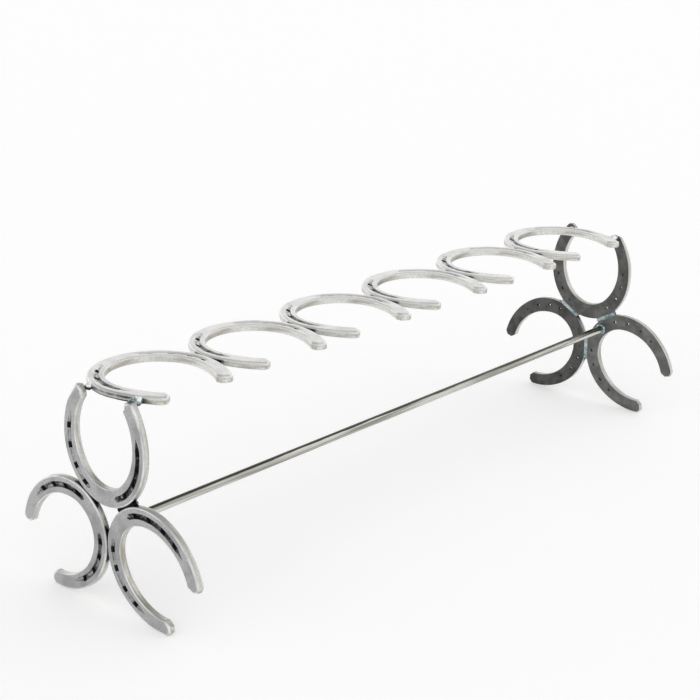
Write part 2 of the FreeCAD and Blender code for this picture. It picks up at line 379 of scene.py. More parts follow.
@dataclass(frozen=True)
class Finish:
    """A finish that a material is made from, with the band of heat over which its tint comes up."""

    HEAT_BAND: ClassVar[Span] = (0.02, 0.25)
    HEAT_TINT: ClassVar[tuple[tuple[float, Colour], ...]] = (
        (0.0, (1.0, 1.0, 1.0)),
        (0.3, (0.90, 0.85, 0.80)),
        (0.5, (0.78, 0.65, 0.52)),
        (0.64, (0.52, 0.38, 0.34)),
        (0.78, (0.36, 0.42, 0.47)),
        (1.0, (0.60, 0.70, 0.72)),
    )

    name: str

    def material(self) -> bpy.types.Material:
        """Return the finish as a material.

        Returns:
            The material.
        """
        made = bpy.data.materials.new(self.name)
        self.paint(Nodes(made))
        return made

    def paint(self, nodes: Nodes) -> None:
        """Build the finish up in a material's tree."""
        raise NotImplementedError

    def tinted(self, nodes: Nodes, colour: Socket, waver: Socket | None = None) -> Socket:
        """Return a colour with the welds' heat tint over it.

        Args:
            nodes: The material's tree.
            colour: The colour's socket.
            waver: What makes the tint uneven.

        Returns:
            The tinted colour's socket.
        """
        heat = nodes.attribute("heat")
        tint = nodes.ramp(heat if waver is None else nodes.plus(heat, waver), self.HEAT_TINT)
        return nodes.mix(nodes.spread(heat, self.HEAT_BAND), colour, tint, "MULTIPLY")


@dataclass(frozen=True)
class ScaledCrease:
    """Where a crease is painted dark, by the inset and the height in metres: partly scale, partly painted shade, with
    the outer lip's line as painted shadow.
    """

    floor: float = 0.0092
    floor_soft: float = 0.0006
    wall: Span = (0.0117, 0.0131)
    wall_soft: float = 0.0004
    # The outer lip's dark line is painted shadow.
    lip: Span = (0.0063, 0.0071)
    lip_soft: Span = (0.0004, 0.0005)
    lip_share: float = 0.55
    top: Span = (-0.0009, -0.0003)
    ragged: Pattern = Pattern(240.0, 2.0, band=(0.3, 0.7), result=(-0.0004, 0.0004))
    patch_band: Span = (0.42, 0.6)
    patch_share: Span = (0.3, 0.9)

    def share(self, nodes: Nodes) -> Socket:
        """Return how dark the crease is painted, partly scale and partly painted shade: on the inner wall, in the
        outer lip and in patches on the floor.

        Args:
            nodes: The material's tree.

        Returns:
            The share's socket.
        """
        _, inset, height = nodes.parts(nodes.coordinates((1.0, 1.0, 1.0), "flow"))
        across = nodes.plus(inset, nodes.pattern(self.ragged))
        floor = nodes.spread(across, (self.floor, self.floor + self.floor_soft))
        floor = nodes.times(floor, nodes.spread(nodes.raw(self.ragged), self.patch_band, self.patch_share))
        floor = nodes.times(floor, nodes.attribute("crease_floor"))
        wall_start, wall_end = self.wall
        inner = nodes.spread(across, (wall_start, wall_start + self.wall_soft))
        (lip_start, lip_end), (start_soft, end_soft) = self.lip, self.lip_soft
        lip = nodes.times(
            nodes.spread(across, (lip_start, lip_start + start_soft), (0.0, self.lip_share)),
            nodes.spread(across, (lip_end, lip_end + end_soft), FALL),
        )
        share = nodes.most(floor, nodes.times(nodes.most(inner, lip), nodes.attribute("crease")))
        share = nodes.times(share, nodes.spread(inset, (wall_end, wall_end + self.wall_soft), FALL))
        return nodes.combine("MINIMUM", nodes.times(share, nodes.spread(height, self.top, FALL)), 1.0)


@dataclass(frozen=True)
class TumbledSteel(Finish):
    """Bare forged steel, tumbled until it is satin: faces painted grey and walls paler with warm patches as painted
    reflection, edges bright from wear and painted highlight, the crease dark from scale and painted shade.
    """

    face: Colour
    face_dull: Colour
    # The walls' pale colour and its warm patches, and the faces' grey, are painted reflection.
    wall: Colour = (0.72, 0.715, 0.685)
    wall_tan: Colour = (0.37, 0.345, 0.27)
    # Bright edge colour: partly edge wear, partly painted highlight.
    edge: Colour = (0.88, 0.875, 0.86)
    pore: Colour = (0.16, 0.155, 0.15)
    # Dark crease colour: partly scale, partly painted shade.
    scale: Colour = (0.045, 0.044, 0.043)
    soot: Colour = (0.010, 0.010, 0.012)
    cloud: Pattern = Pattern(34.0, band=(0.40, 0.72))
    mottle: Pattern = Pattern(420.0, band=(0.38, 0.64))
    pits: Pattern = Pattern(460.0, 2.0, band=(0.70, 0.77))
    grain: Pattern = Pattern(1500.0, 2.0, relief=(0.00004, 0.6))
    dents: Pattern = Pattern(70.0, 2.0, relief=(0.0005, 0.3))
    ripples: Pattern = Pattern(300.0, 2.0, relief=(0.0001, 0.45))
    tan: Pattern = Pattern(
        detail=4.0, band=(0.40, 0.66), result=(0.0, 0.9), stretch=(16.0, 190.0, 190.0), attribute="flow"
    )
    # Where along the edges the wear and the painted highlight show.
    polish: Pattern = Pattern(band=(0.36, 0.62), result=(0.3, 1.0), stretch=(26.0, 90.0, 90.0), attribute="flow")
    streak: Pattern = Pattern(
        detail=4.0, band=(0.3, 0.8), result=(0.0, 0.25), stretch=(60.0, 800.0, 800.0), attribute="flow",
        relief=(0.00004, 0.4),
    )
    crease: ScaledCrease = ScaledCrease()
    face_mottle: float = 0.55
    wall_mottle: float = 0.3
    pit_share: float = 0.55
    edge_share: float = 0.9
    wall_band: Span = (0.35, 0.85)
    edge_start: Span = (0.015, 0.12)
    edge_end: Span = (0.35, 0.8)
    heat_waver: Span = (-0.04, 0.04)
    roughness: Span = (0.32, 0.40)
    edge_gloss: float = -0.07
    mottle_dullness: float = 0.05
    scale_dullness: float = 0.25
    coat: float = 0.35

    def paint(self, nodes: Nodes) -> None:
        """Build the finish up in a material's tree.

        Args:
            nodes: The material's tree.
        """
        cloud, mottle, pits = (nodes.pattern(pattern) for pattern in (self.cloud, self.mottle, self.pits))
        wall, soot = nodes.attribute("wall"), nodes.attribute("soot")

        colour = nodes.mix(cloud, self.face, self.face_dull)
        colour = nodes.mix(nodes.times(mottle, self.face_mottle), colour, self.face_dull)
        # Walls paler than the faces, with warm patches: painted reflection.
        pale = nodes.mix(nodes.pattern(self.tan), self.wall, self.wall_tan)
        pale = nodes.mix(nodes.times(mottle, self.wall_mottle), pale, self.wall_tan)
        colour = nodes.mix(nodes.spread(wall, self.wall_band), colour, pale)
        # Rounded edges brightened: partly wear, partly painted highlight.
        wear_and_highlight = nodes.times(nodes.spread(wall, self.edge_start), nodes.spread(wall, self.edge_end, FALL))
        wear_and_highlight = nodes.times(wear_and_highlight, nodes.pattern(self.polish))
        colour = nodes.mix(nodes.times(wear_and_highlight, self.edge_share), colour, self.edge)
        colour = nodes.mix(nodes.pattern(self.streak), colour, self.face_dull)
        colour = nodes.mix(nodes.times(pits, self.pit_share), colour, self.pore)
        colour = self.tinted(nodes, colour, nodes.spread(cloud, result=self.heat_waver))
        # Crease darkened: partly scale, partly painted shade.
        scale = self.crease.share(nodes)
        colour = nodes.mix(soot, nodes.mix(scale, colour, self.scale), self.soot)

        rough = nodes.plus(
            nodes.spread(cloud, result=self.roughness),
            nodes.spread(wear_and_highlight, result=(0.0, self.edge_gloss)),
            nodes.spread(mottle, result=(0.0, self.mottle_dullness)),
            nodes.times(nodes.most(soot, scale), self.scale_dullness),
        )
        worked = nodes.relief(self.streak, nodes.relief(self.ripples, nodes.relief(self.dents)))
        normal = nodes.bump(nodes.combine("SUBTRACT", nodes.raw(self.grain), pits), self.grain.relief, worked)
        nodes.surface(colour, rough, normal, 1.0, self.coat)


@dataclass(frozen=True)
class ForgeScale(Finish):
    """A dark, rough finish: the forge scale that the hammer leaves on the foot faces, and the nail holes' walls
    painted near black as shade.
    """

    HEAT_BAND: ClassVar[Span] = (0.02, 0.3)

    light: Colour
    dark: Colour
    roughness: Span = (0.38, 0.52)
    metallic: float = 0.85
    cloud: Pattern = Pattern(70.0, 4.0, band=(0.32, 0.68))
    grain: Pattern = Pattern(900.0, band=(0.55, 0.8), result=(0.0, 0.4), relief=(0.00008, 0.6))
    hollows: Pattern = Pattern(120.0, 2.0, relief=(0.0005, 0.3))

    def paint(self, nodes: Nodes) -> None:
        """Build the finish up in a material's tree.

        Args:
            nodes: The material's tree.
        """
        cloud = nodes.pattern(self.cloud)
        colour = nodes.mix(nodes.pattern(self.grain), nodes.mix(cloud, self.light, self.dark), self.dark)
        normal = nodes.relief(self.grain, nodes.relief(self.hollows))
        nodes.surface(self.tinted(nodes, colour), nodes.spread(cloud, result=self.roughness), normal, self.metallic)


@dataclass(frozen=True)
class DrawnBar(Finish):
    """Bright cold-drawn bar with fine lines along it, a trace of brown handling rust in patches, and a dark brown band
    painted along its top as reflection.
    """

    name: str = "drawn_bar"
    bright: Colour = (0.67, 0.665, 0.62)
    dull: Colour = (0.25, 0.245, 0.21)
    rust: Colour = (0.062, 0.06, 0.044)
    line: Pattern = Pattern(
        detail=4.0, band=(0.36, 0.62), result=(0.0, 0.9), stretch=(7.0, 430.0, 430.0), relief=(0.00005, 0.6)
    )
    patch: Pattern = Pattern(band=(0.6, 0.85), result=(0.0, 0.35), stretch=(22.0, 160.0, 160.0))
    grain: Pattern = Pattern(700.0, 2.0, relief=(0.00004, 0.4))
    waver_band: Span = (0.3, 0.7)
    waver: Span = (-0.07, 0.07)
    # The dark band along the rod's top is painted reflection.
    top_band: Span = (0.74, 0.86)
    top_rust: Span = (0.0, 0.92)
    rough_band: Span = (0.3, 0.75)
    roughness: Span = (0.2, 0.34)

    def paint(self, nodes: Nodes) -> None:
        """Build the finish up in a material's tree.

        Args:
            nodes: The material's tree.
        """
        patch = nodes.raw(self.patch)
        # Dark brown along the top: painted reflection; the patches are rust.
        top = nodes.plus(nodes.attribute("top"), nodes.spread(patch, self.waver_band, self.waver))
        rust_and_reflection_share = nodes.most(nodes.pattern(self.patch), nodes.spread(top, self.top_band, self.top_rust))
        colour = nodes.mix(rust_and_reflection_share, nodes.mix(nodes.pattern(self.line), self.bright, self.dull), self.rust)
        rough = nodes.spread(patch, self.rough_band, self.roughness)
        nodes.surface(self.tinted(nodes, colour), rough, nodes.relief(self.grain, nodes.relief(self.line)), 1.0)


@dataclass(frozen=True)
class WeldMetal(Finish):
    """Wire-brushed weld metal, blue-grey with straw-coloured patches, with a painted highlight on the crown and black
    on the side away from it, partly soot and partly painted shade.
    """

    name: str = "weld_metal"
    polished: Colour = (0.93, 0.95, 0.95)
    light: Colour = (0.38, 0.47, 0.50)
    blue: Colour = (0.13, 0.20, 0.23)
    straw: Colour = (0.42, 0.37, 0.28)
    soot: Colour = (0.010, 0.010, 0.012)
    cloud: Pattern = Pattern(240.0, band=(0.38, 0.66))
    patch: Pattern = Pattern(140.0, 2.0, band=(0.52, 0.7), result=(0.0, 0.6))
    grain: Pattern = Pattern(1100.0, 2.0, relief=(0.00005, 0.5))
    roughness: Span = (0.13, 0.30)
    soot_dullness: float = 0.4

    def paint(self, nodes: Nodes) -> None:
        """Build the finish up in a material's tree.

        Args:
            nodes: The material's tree.
        """
        cloud, soot = nodes.pattern(self.cloud), nodes.attribute("soot")
        colour = nodes.mix(nodes.pattern(self.patch), nodes.mix(cloud, self.light, self.blue), self.straw)
        # The crown attribute is the bead's painted highlight.
        colour = nodes.mix(nodes.attribute("crown"), colour, self.polished)
        rough = nodes.plus(nodes.spread(cloud, result=self.roughness), nodes.times(soot, self.soot_dullness))
        # On beads the soot attribute is partly soot, partly painted shade on the side away from the crown.
        nodes.surface(nodes.mix(soot, colour, self.soot), rough, nodes.relief(self.grain), 1.0)


class Finishes:
    """Every finish of the rack as a material, made once."""

    def __init__(self) -> None:
        """Make the materials."""
        # The stand's faces are painted darker and the row's lighter: shaded and lit copies of one finish.
        self.stand_steel = TumbledSteel("stand_steel", (0.48, 0.48, 0.485), (0.31, 0.31, 0.315)).material()
        self.row_steel = TumbledSteel(
            "row_steel", (0.80, 0.796, 0.785), (0.68, 0.676, 0.668), wall=(0.80, 0.795, 0.77)
        ).material()
        # The nail holes' walls are painted near black: painted shade.
        self.punched = ForgeScale(
            "punched_scale", (0.020, 0.020, 0.020), (0.008, 0.008, 0.009), roughness=(0.55, 0.8), metallic=0.3
        ).material()
        self.foot = ForgeScale("foot_scale", (0.150, 0.149, 0.142), (0.095, 0.094, 0.089)).material()
        # Lit and shaded copies of the foot scale: painted light and painted shade.
        self.foot_pale = ForgeScale("lit_foot_scale", (0.195, 0.197, 0.188), (0.130, 0.132, 0.125)).material()
        self.foot_dark = ForgeScale("shaded_foot_scale", (0.110, 0.109, 0.106), (0.062, 0.062, 0.060)).material()
        self.bar = DrawnBar().material()
        self.weld = WeldMetal().material()


# ---------------------------------------------------------------------------------- mesh and number helpers


def placed(name: str, data: bpy.types.ID) -> bpy.types.Object:
    """Return a new object in the scene that holds some data.

    Args:
        name: The object's name.
        data: Its mesh, lamp or camera.

    Returns:
        The object.
    """
    made = bpy.data.objects.new(name, data)
    bpy.context.scene.collection.objects.link(made)
    return made


def to_mesh(name: str, shape: Shape) -> bpy.types.Mesh:
    """Return a bmesh as a new mesh, and free it.

    Args:
        name: The mesh's name.
        shape: The bmesh.

    Returns:
        The mesh.
    """
    mesh = bpy.data.meshes.new(name)
    shape.to_mesh(mesh)
    shape.free()
    return mesh


def put(shape: Shape, name: str, node: str, materials: list[bpy.types.Material]) -> None:
    """Turn a placed shape into a smooth-shaded piece, with its origin at the rack's, that stands for a node.

    Args:
        shape: The shape in metres, which is freed.
        name: The piece's name.
        node: The node that it stands for.
        materials: The piece's materials.
    """
    mesh = to_mesh(name, shape)
    for polygon in mesh.polygons:
        polygon.use_smooth = True
    mesh.set_sharp_from_angle(angle=math.radians(SHARP_ANGLE))
    for material in materials:
        mesh.materials.append(material)
    piece = placed(name, mesh)
    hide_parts(node)
    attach(piece, BODY)
    LOG.info("%s stands for %s with %d faces", name, node, len(mesh.polygons))


def box_round(points: list[Vector]) -> Box:
    """Return the lowest and highest corners of some points."""
    low, high = (Vector(end(point[axis] for point in points) for axis in range(3)) for end in (min, max))
    return low, high


def box_of(shape: Shape) -> Box:
    """Return the lowest and highest corners of a shape."""
    return box_round([vert.co for vert in shape.verts])


def middle(box: Box) -> Vector:
    """Return the centre of a box."""
    return (box[0] + box[1]) / 2.0


def seat(shape: Shape, turn: Matrix, node: str, like: Box | None = None) -> None:
    """Turn a shape, bring it to metres and set it where a node is.

    Args:
        shape: The shape in millimetres.
        turn: Its turn, which may mirror it.
        node: The node whose box it fills.
        like: The box in millimetres that stands for the turned shape's own.
    """
    bmesh.ops.transform(shape, matrix=Matrix.Scale(MM, 4) @ turn, verts=shape.verts)
    centre = middle(like) * MM if like else middle(box_of(shape))
    bmesh.ops.translate(shape, vec=middle(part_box(node)) - centre, verts=shape.verts)
    if turn.determinant() < 0.0:
        bmesh.ops.reverse_faces(shape, faces=shape.faces)


def new_verts(made: list[Vert | Edge | bmesh.types.BMFace]) -> list[Vert]:
    """Return the vertices of what an operator made."""
    return [item for item in made if isinstance(item, Vert)]


def capped_ring(shape: Shape, sides: int, radius: float, place: Matrix) -> list[Edge]:
    """Return the edges of a new round face.

    Args:
        shape: The shape that it is added to.
        sides: The number of its sides.
        radius: Its radius.
        place: Its place.

    Returns:
        The edges.
    """
    ring = bmesh.ops.create_circle(shape, cap_ends=True, segments=sides, radius=radius, matrix=place)["verts"]
    return list({edge for vert in ring for edge in vert.link_edges})


def extruded(shape: Shape, edges: list[Edge]) -> tuple[list[Vert], list[Edge]]:
    """Return the vertices and the edges of a new row that is drawn out of another.

    Args:
        shape: The shape.
        edges: The edges of the row that it is drawn from.

    Returns:
        The new vertices, and the new edges between them.
    """
    made = bmesh.ops.extrude_edge_only(shape, edges=edges)["geom"]
    verts = new_verts(made)
    return verts, [item for item in made if isinstance(item, Edge) and all(vert in verts for vert in item.verts)]


def close_end(shape: Shape, edges: list[Edge]) -> None:
    """Close a shape's open end and turn its faces outwards."""
    bmesh.ops.contextual_create(shape, geom=edges)
    bmesh.ops.recalc_face_normals(shape, faces=shape.faces)


def held(value: float) -> float:
    """Return a value held between 0 and 1."""
    return max(0.0, min(1.0, value))


def smooth_step(value: float) -> float:
    """Return a smooth rise from 0 to 1 while the value does so."""
    share = held(value)
    return share * share * (3.0 - 2.0 * share)


def blend(first: float, last: float, share: float) -> float:
    """Return the number at a share of the way from one to another."""
    return first + (last - first) * share


@dataclass(frozen=True)
class Run:
    """A straight run between two points, in metres."""

    start: Vector
    end: Vector

    @property
    def whole(self) -> Vector:
        """Return the way from the start to the end."""
        return self.end - self.start

    def moved(self, shift: Vector) -> "Run":
        """Return the run after a shift."""
        return Run(self.start + shift, self.end + shift)

    def share(self, point: Vector) -> float:
        """Return how far along the run a point lies, as a share of its length."""
        return (point - self.start).dot(self.whole) / max(self.whole.length_squared, 1e-12)

    def gap(self, point: Vector) -> float:
        """Return a point's distance from the run."""
        return (point - self.start - self.whole * held(self.share(point))).length


# ------------------------------------------------------------------------------------------ the horseshoe


def outward(bearing: float) -> Vector:
    """Return the direction out of a shoe's right edge at a bearing in degrees from the toe."""
    angle = math.radians(bearing)
    return Vector((math.sin(angle), math.cos(angle), 0.0))


def along(bearing: float) -> Vector:
    """Return the direction along the right branch towards the heel at a bearing."""
    angle = math.radians(bearing)
    return Vector((math.cos(angle), -math.sin(angle), 0.0))


def on_right(point: Vector) -> Vector:
    """Return a point of either half, laid flat on the right half."""
    return Vector((abs(point.x), point.y, 0.0))


def edge_drop(gap: float, width: float, depth: float) -> float:
    """Return how far a rounded edge lies below its face at a distance from the wall."""
    rest = 1.0 - max(gap, 0.0) / width
    return depth * (1.0 - math.sqrt(1.0 - rest * rest)) if rest > 0.0 else 0.0


@dataclass(frozen=True)
class EdgeArc:
    """An arc of a shoe's right edge between two bearings, with the edge's length up to its start."""

    centre: Vector
    radius: float
    start: float
    end: float
    before: float

    def point(self, bearing: float, inset: float = 0.0) -> Vector:
        """Return the point at a bearing, moved in by the inset."""
        return self.centre + outward(bearing) * (self.radius - inset)

    def travelled(self, bearing: float) -> float:
        """Return the edge's length up to a bearing."""
        return self.before + self.radius * math.radians(bearing - self.start)


def arc_at(arcs: list[EdgeArc], bearing: float) -> EdgeArc:
    """Return the arc that holds a bearing, or the last one for a bearing past the heel."""
    return next((arc for arc in arcs if bearing <= arc.end + 1e-6), arcs[-1])


def arc_by(arcs: list[EdgeArc], point: Vector) -> tuple[EdgeArc, float, float]:
    """Return the arc that a point lies by, its distance from the arc's centre and its bearing from there.

    Args:
        arcs: The edge's arcs.
        point: The point, on the right half.

    Returns:
        The arc, the distance and the bearing.
    """
    for arc in arcs:
        offset = point - arc.centre
        bearing = math.degrees(math.atan2(offset.x, offset.y))
        if bearing <= arc.end:
            break
    return arc, offset.length, bearing


@dataclass(frozen=True)
class Spot:
    """A point's place on the right half of a shoe, with how far past the heel's start it lies."""

    bearing: float
    inset: float
    travelled: float
    past: float


@dataclass(frozen=True)
class ShoeForm:
    """One size of horseshoe: three arcs on each side of its outer edge, its web and its cut heels.

    The plain cuts are those of the solid's heels, which set the shoe's box.
    """

    radii: Triple
    bearings: Triple
    toe_web: float
    heel_web: float
    thickness: float = 8.0
    heel_reach: float = 6.5
    outer_cut: float = 3.0
    inner_cut: float = 4.8
    plain_outer_cut: float = 3.0
    plain_inner_cut: float = 4.8
    plain_steps: int = 60

    def edge(self, radii: Triple) -> list[EdgeArc]:
        """Return the arcs of an edge.

        Args:
            radii: The radii of its toe, quarter and branch.

        Returns:
            The arcs, which run on smoothly from the toe to the heel.
        """
        stops = (0.0, *self.bearings)
        centre, previous, before = ORIGIN, radii[0], 0.0
        arcs = []
        for radius, start, end in zip(radii, stops, stops[1:]):
            centre = centre + outward(start) * (previous - radius)
            arcs.append(EdgeArc(centre, radius, start, end, before))
            previous, before = radius, arcs[-1].travelled(end)
        return arcs

    @functools.cached_property
    def outer(self) -> list[EdgeArc]:
        """The outer edge's arcs."""
        return self.edge(self.radii)

    @functools.cached_property
    def inner(self) -> list[EdgeArc]:
        """The inner edge's arcs, which taper the web towards the heel.

        Returns:
            The arcs.
        """
        toe, quarter, heel = (outward(bearing) for bearing in self.bearings)
        taper = heel * (self.toe_web - self.heel_web)
        first, second = quarter - toe, heel - quarter
        scale = first.cross(second).z
        gains = (0.0, taper.cross(second).z / scale, first.cross(taper).z / scale)
        return self.edge(tuple(r - self.toe_web + gain for r, gain in zip(self.radii, gains)))

    @functools.cached_property
    def heel(self) -> Vector:
        """The end of the outer edge, where the heel begins."""
        return self.outer[-1].point(self.bearings[-1])

    @functools.cached_property
    def length(self) -> float:
        """The length of the outer edge from the toe to the heel's start."""
        return self.outer[-1].travelled(self.bearings[-1])

    def place(self, point: Vector) -> Spot:
        """Find a point of either half on the right half of the shoe.

        Args:
            point: The point.

        Returns:
            Its place.
        """
        flat, last = on_right(point), self.bearings[-1]
        past = (flat - self.heel).dot(along(last))
        if past > 0.0 and flat.y < 0.0:
            inset = (self.heel - flat).dot(outward(last))
            return Spot(last + math.degrees(past / self.radii[-1]), inset, self.length + past, past)
        arc, distance, bearing = arc_by(self.outer, flat)
        return Spot(bearing, arc.radius - distance, arc.travelled(bearing), past)

    def heel_point(self, inset: float, reach: float) -> Vector:
        """Return a point of the right heel at an inset from the outer edge and a reach past the heel's start."""
        last = self.bearings[-1]
        return self.heel + along(last) * reach - outward(last) * inset

    def plain_box(self, turn: Matrix) -> Box:
        """Return the box of the turned shoe with the plain heels of its solid.

        Args:
            turn: The shoe's turn.

        Returns:
            The box.
        """
        outer_cut, inner_cut, reach = self.plain_outer_cut, self.plain_inner_cut, self.heel_reach
        points = [
            arc.point(arc.start + (arc.end - arc.start) * step / self.plain_steps)
            for arc in self.outer
            for step in range(self.plain_steps + 1)
        ]
        points += [
            self.heel_point(0.0, reach - outer_cut),
            self.heel_point(outer_cut, reach),
            self.heel_point(self.heel_web - inner_cut, reach),
            self.heel_point(self.heel_web, reach - inner_cut),
        ]
        return box_round([
            turn @ Vector((side * point.x, point.y, level))
            for point in points
            for side in (-1.0, 1.0)
            for level in (0.0, -self.thickness)
        ])

    def inner_gap(self, point: Vector) -> float:
        """Return the distance of a point of the branch from the inner edge."""
        arc, distance, _ = arc_by(self.inner, on_right(point))
        return distance - arc.radius


@dataclass(frozen=True)
class Rounding:
    """How far the hammer and the tumbler rounded a shoe's edges."""

    outer: float = 2.8
    inner: float = 1.8
    heel: float = 2.6
    foot: float = 1.3
    worn_width: float = 4.5
    worn_depth: float = 3.2
    worn_reach: float = 24.0

    def outer_at(self, to_heel: float) -> Span:
        """Return the width and depth of the outer edge's rounding at a distance from the heel's start."""
        share = smooth_step(1.0 - to_heel / self.worn_reach)
        return blend(self.outer, self.worn_width, share), blend(self.outer, self.worn_depth, share)

    def drops(self, form: ShoeForm, point: Vector) -> Span:
        """Return how far the ground face's and the foot face's rounded edges lie back at a point.

        Args:
            form: The shoe's size.
            point: A point of its flat outline.

        Returns:
            The two distances.
        """
        spot = form.place(point)
        width, depth = self.outer_at(form.length - spot.travelled)
        gaps = [(spot.inset, width, depth)]
        if spot.past <= 0.0:
            gaps.append((form.inner_gap(point), self.inner, self.inner))
        else:
            to_end = form.heel_reach - spot.past
            to_inner = form.heel_web - spot.inset
            gaps += [
                (to_inner, self.inner, self.inner),
                (to_end, self.heel, self.heel),
                (
                    (spot.inset + to_end - form.outer_cut) / math.sqrt(2.0),
                    (width + self.heel) / 2.0,
                    (depth + self.heel) / 2.0,
                ),
                ((to_inner + to_end - form.inner_cut) / math.sqrt(2.0), self.heel, self.heel),
            ]
        ground = max(edge_drop(*gap) for gap in gaps)
        foot = max(edge_drop(gap, self.foot, self.foot) for gap, _, _ in gaps)
        return ground, foot


@dataclass(frozen=True)
class Crease:
    """The groove along a branch and the nail holes punched through it."""

    nails: tuple[float, ...] = (37.0, 57.5, 77.0, 94.0)
    # How dark the crease is painted at the toe and the heel, and on its inner wall and lip: partly scale, partly
    # painted shade.
    dirt: Span = (1.0, 1.0)
    lines: float = 0.95
    centre: float = 9.5
    outer_lip: float = 6.5
    outer_floor: float = 9.4
    inner_floor: float = 11.9
    inner_lip: float = 12.5
    depth: float = 4.2
    start: float = 26.0
    end: float = 98.0
    toe_run_out: float = 3.5
    heel_run_out: float = 9.0
    narrowest: float = 0.15
    nail_outer: float = 6.85
    nail_inner: float = 12.1
    nail_half_length: float = 3.15
    nail_frame: float = 0.3
    nail_slack: float = 0.02
    exit_half_length: float = 2.0
    exit_half_width: float = 1.3
    row_slack: float = 0.1
    least_turn: float = 0.2

    @property
    def nail_inset(self) -> float:
        """Return the inset of the nail holes' centres."""
        return (self.nail_outer + self.nail_inner) / 2.0

    @property
    def ends(self) -> Span:
        """Return the bearings where the groove runs out."""
        return self.start - self.toe_run_out, self.end + self.heel_run_out

    def share(self, bearing: float) -> float:
        """Return how much of the groove's depth there is at a bearing.

        Args:
            bearing: The bearing.

        Returns:
            The share of the depth.
        """
        into = 1.0 + (bearing - self.start) / self.toe_run_out
        out = 1.0 - (bearing - self.end) / self.heel_run_out
        return max(0.0, min(1.0, into, out))

    def dirt_at(self, bearing: float) -> float:
        """Return how dark the groove is painted at a bearing, partly scale and partly painted shade, or nothing
        outside it.

        Args:
            bearing: The bearing.

        Returns:
            The strength of the painted scale and shade.
        """
        first, last = self.ends
        if not first <= bearing <= last:
            return 0.0
        return blend(*self.dirt, smooth_step((bearing - first) / (last - first)))

    def half_angle(self, radius: float) -> float:
        """Return half a nail hole's length as an angle at a radius of the shoe's edge."""
        return math.degrees(self.nail_half_length / (radius - self.centre))

    def nail_at(self, form: ShoeForm, bearing: float) -> float | None:
        """Return the bearing of the nail hole that holds a bearing, if one does."""
        half = self.half_angle(arc_at(form.outer, bearing).radius) + self.nail_slack
        return next((nail for nail in self.nails if abs(nail - bearing) <= half), None)

    def stops(self, form: ShoeForm) -> list[float]:
        """Return the bearings where the branch needs a row of vertices, after the toe's own.

        Args:
            form: The shoe's size.

        Returns:
            The bearings, in order.
        """
        wanted = [form.bearings[-1]]
        for nail in self.nails:
            radius = arc_at(form.outer, nail).radius
            half = self.half_angle(radius)
            frame_angle = math.degrees(self.nail_frame / (radius - self.centre))
            wanted += [nail - half - frame_angle, nail - half, nail + half, nail + half + frame_angle]
        first, last = self.ends
        wanted += [first, self.start, self.end, last, *form.bearings]
        kept: list[float] = []
        for bearing in wanted:
            if all(abs(bearing - other) > self.least_turn for other in kept):
                kept.append(bearing)
        return sorted(kept)

    def pressed(self, form: ShoeForm, bearing: float, inset: float) -> Span:
        """Return where the punch and the creaser leave a point of the flat bar.

        Args:
            form: The shoe's size.
            bearing: The point's bearing.
            inset: Its inset on the flat bar.

        Returns:
            Its new inset and its depth.
        """
        slack = self.row_slack
        if not self.outer_lip - slack < inset < self.inner_lip + slack:
            return inset, 0.0
        share = self.share(bearing)
        width = max(share, self.narrowest)
        moved = blend(self.centre, inset, width)
        if not self.outer_floor - slack < inset < self.inner_floor + slack:
            return moved, 0.0
        sunk = self.depth * share
        if share > 0.0 and self.nail_at(form, bearing) is not None:
            outer = inset < self.centre + slack
            rim = self.nail_outer if outer else self.nail_inner
            lip = blend(self.centre, self.outer_lip if outer else self.inner_lip, width)
            floor_edge = blend(self.centre, self.outer_floor if outer else self.inner_floor, width)
            return rim, sunk * held((rim - lip) / (floor_edge - lip))
        return moved, sunk


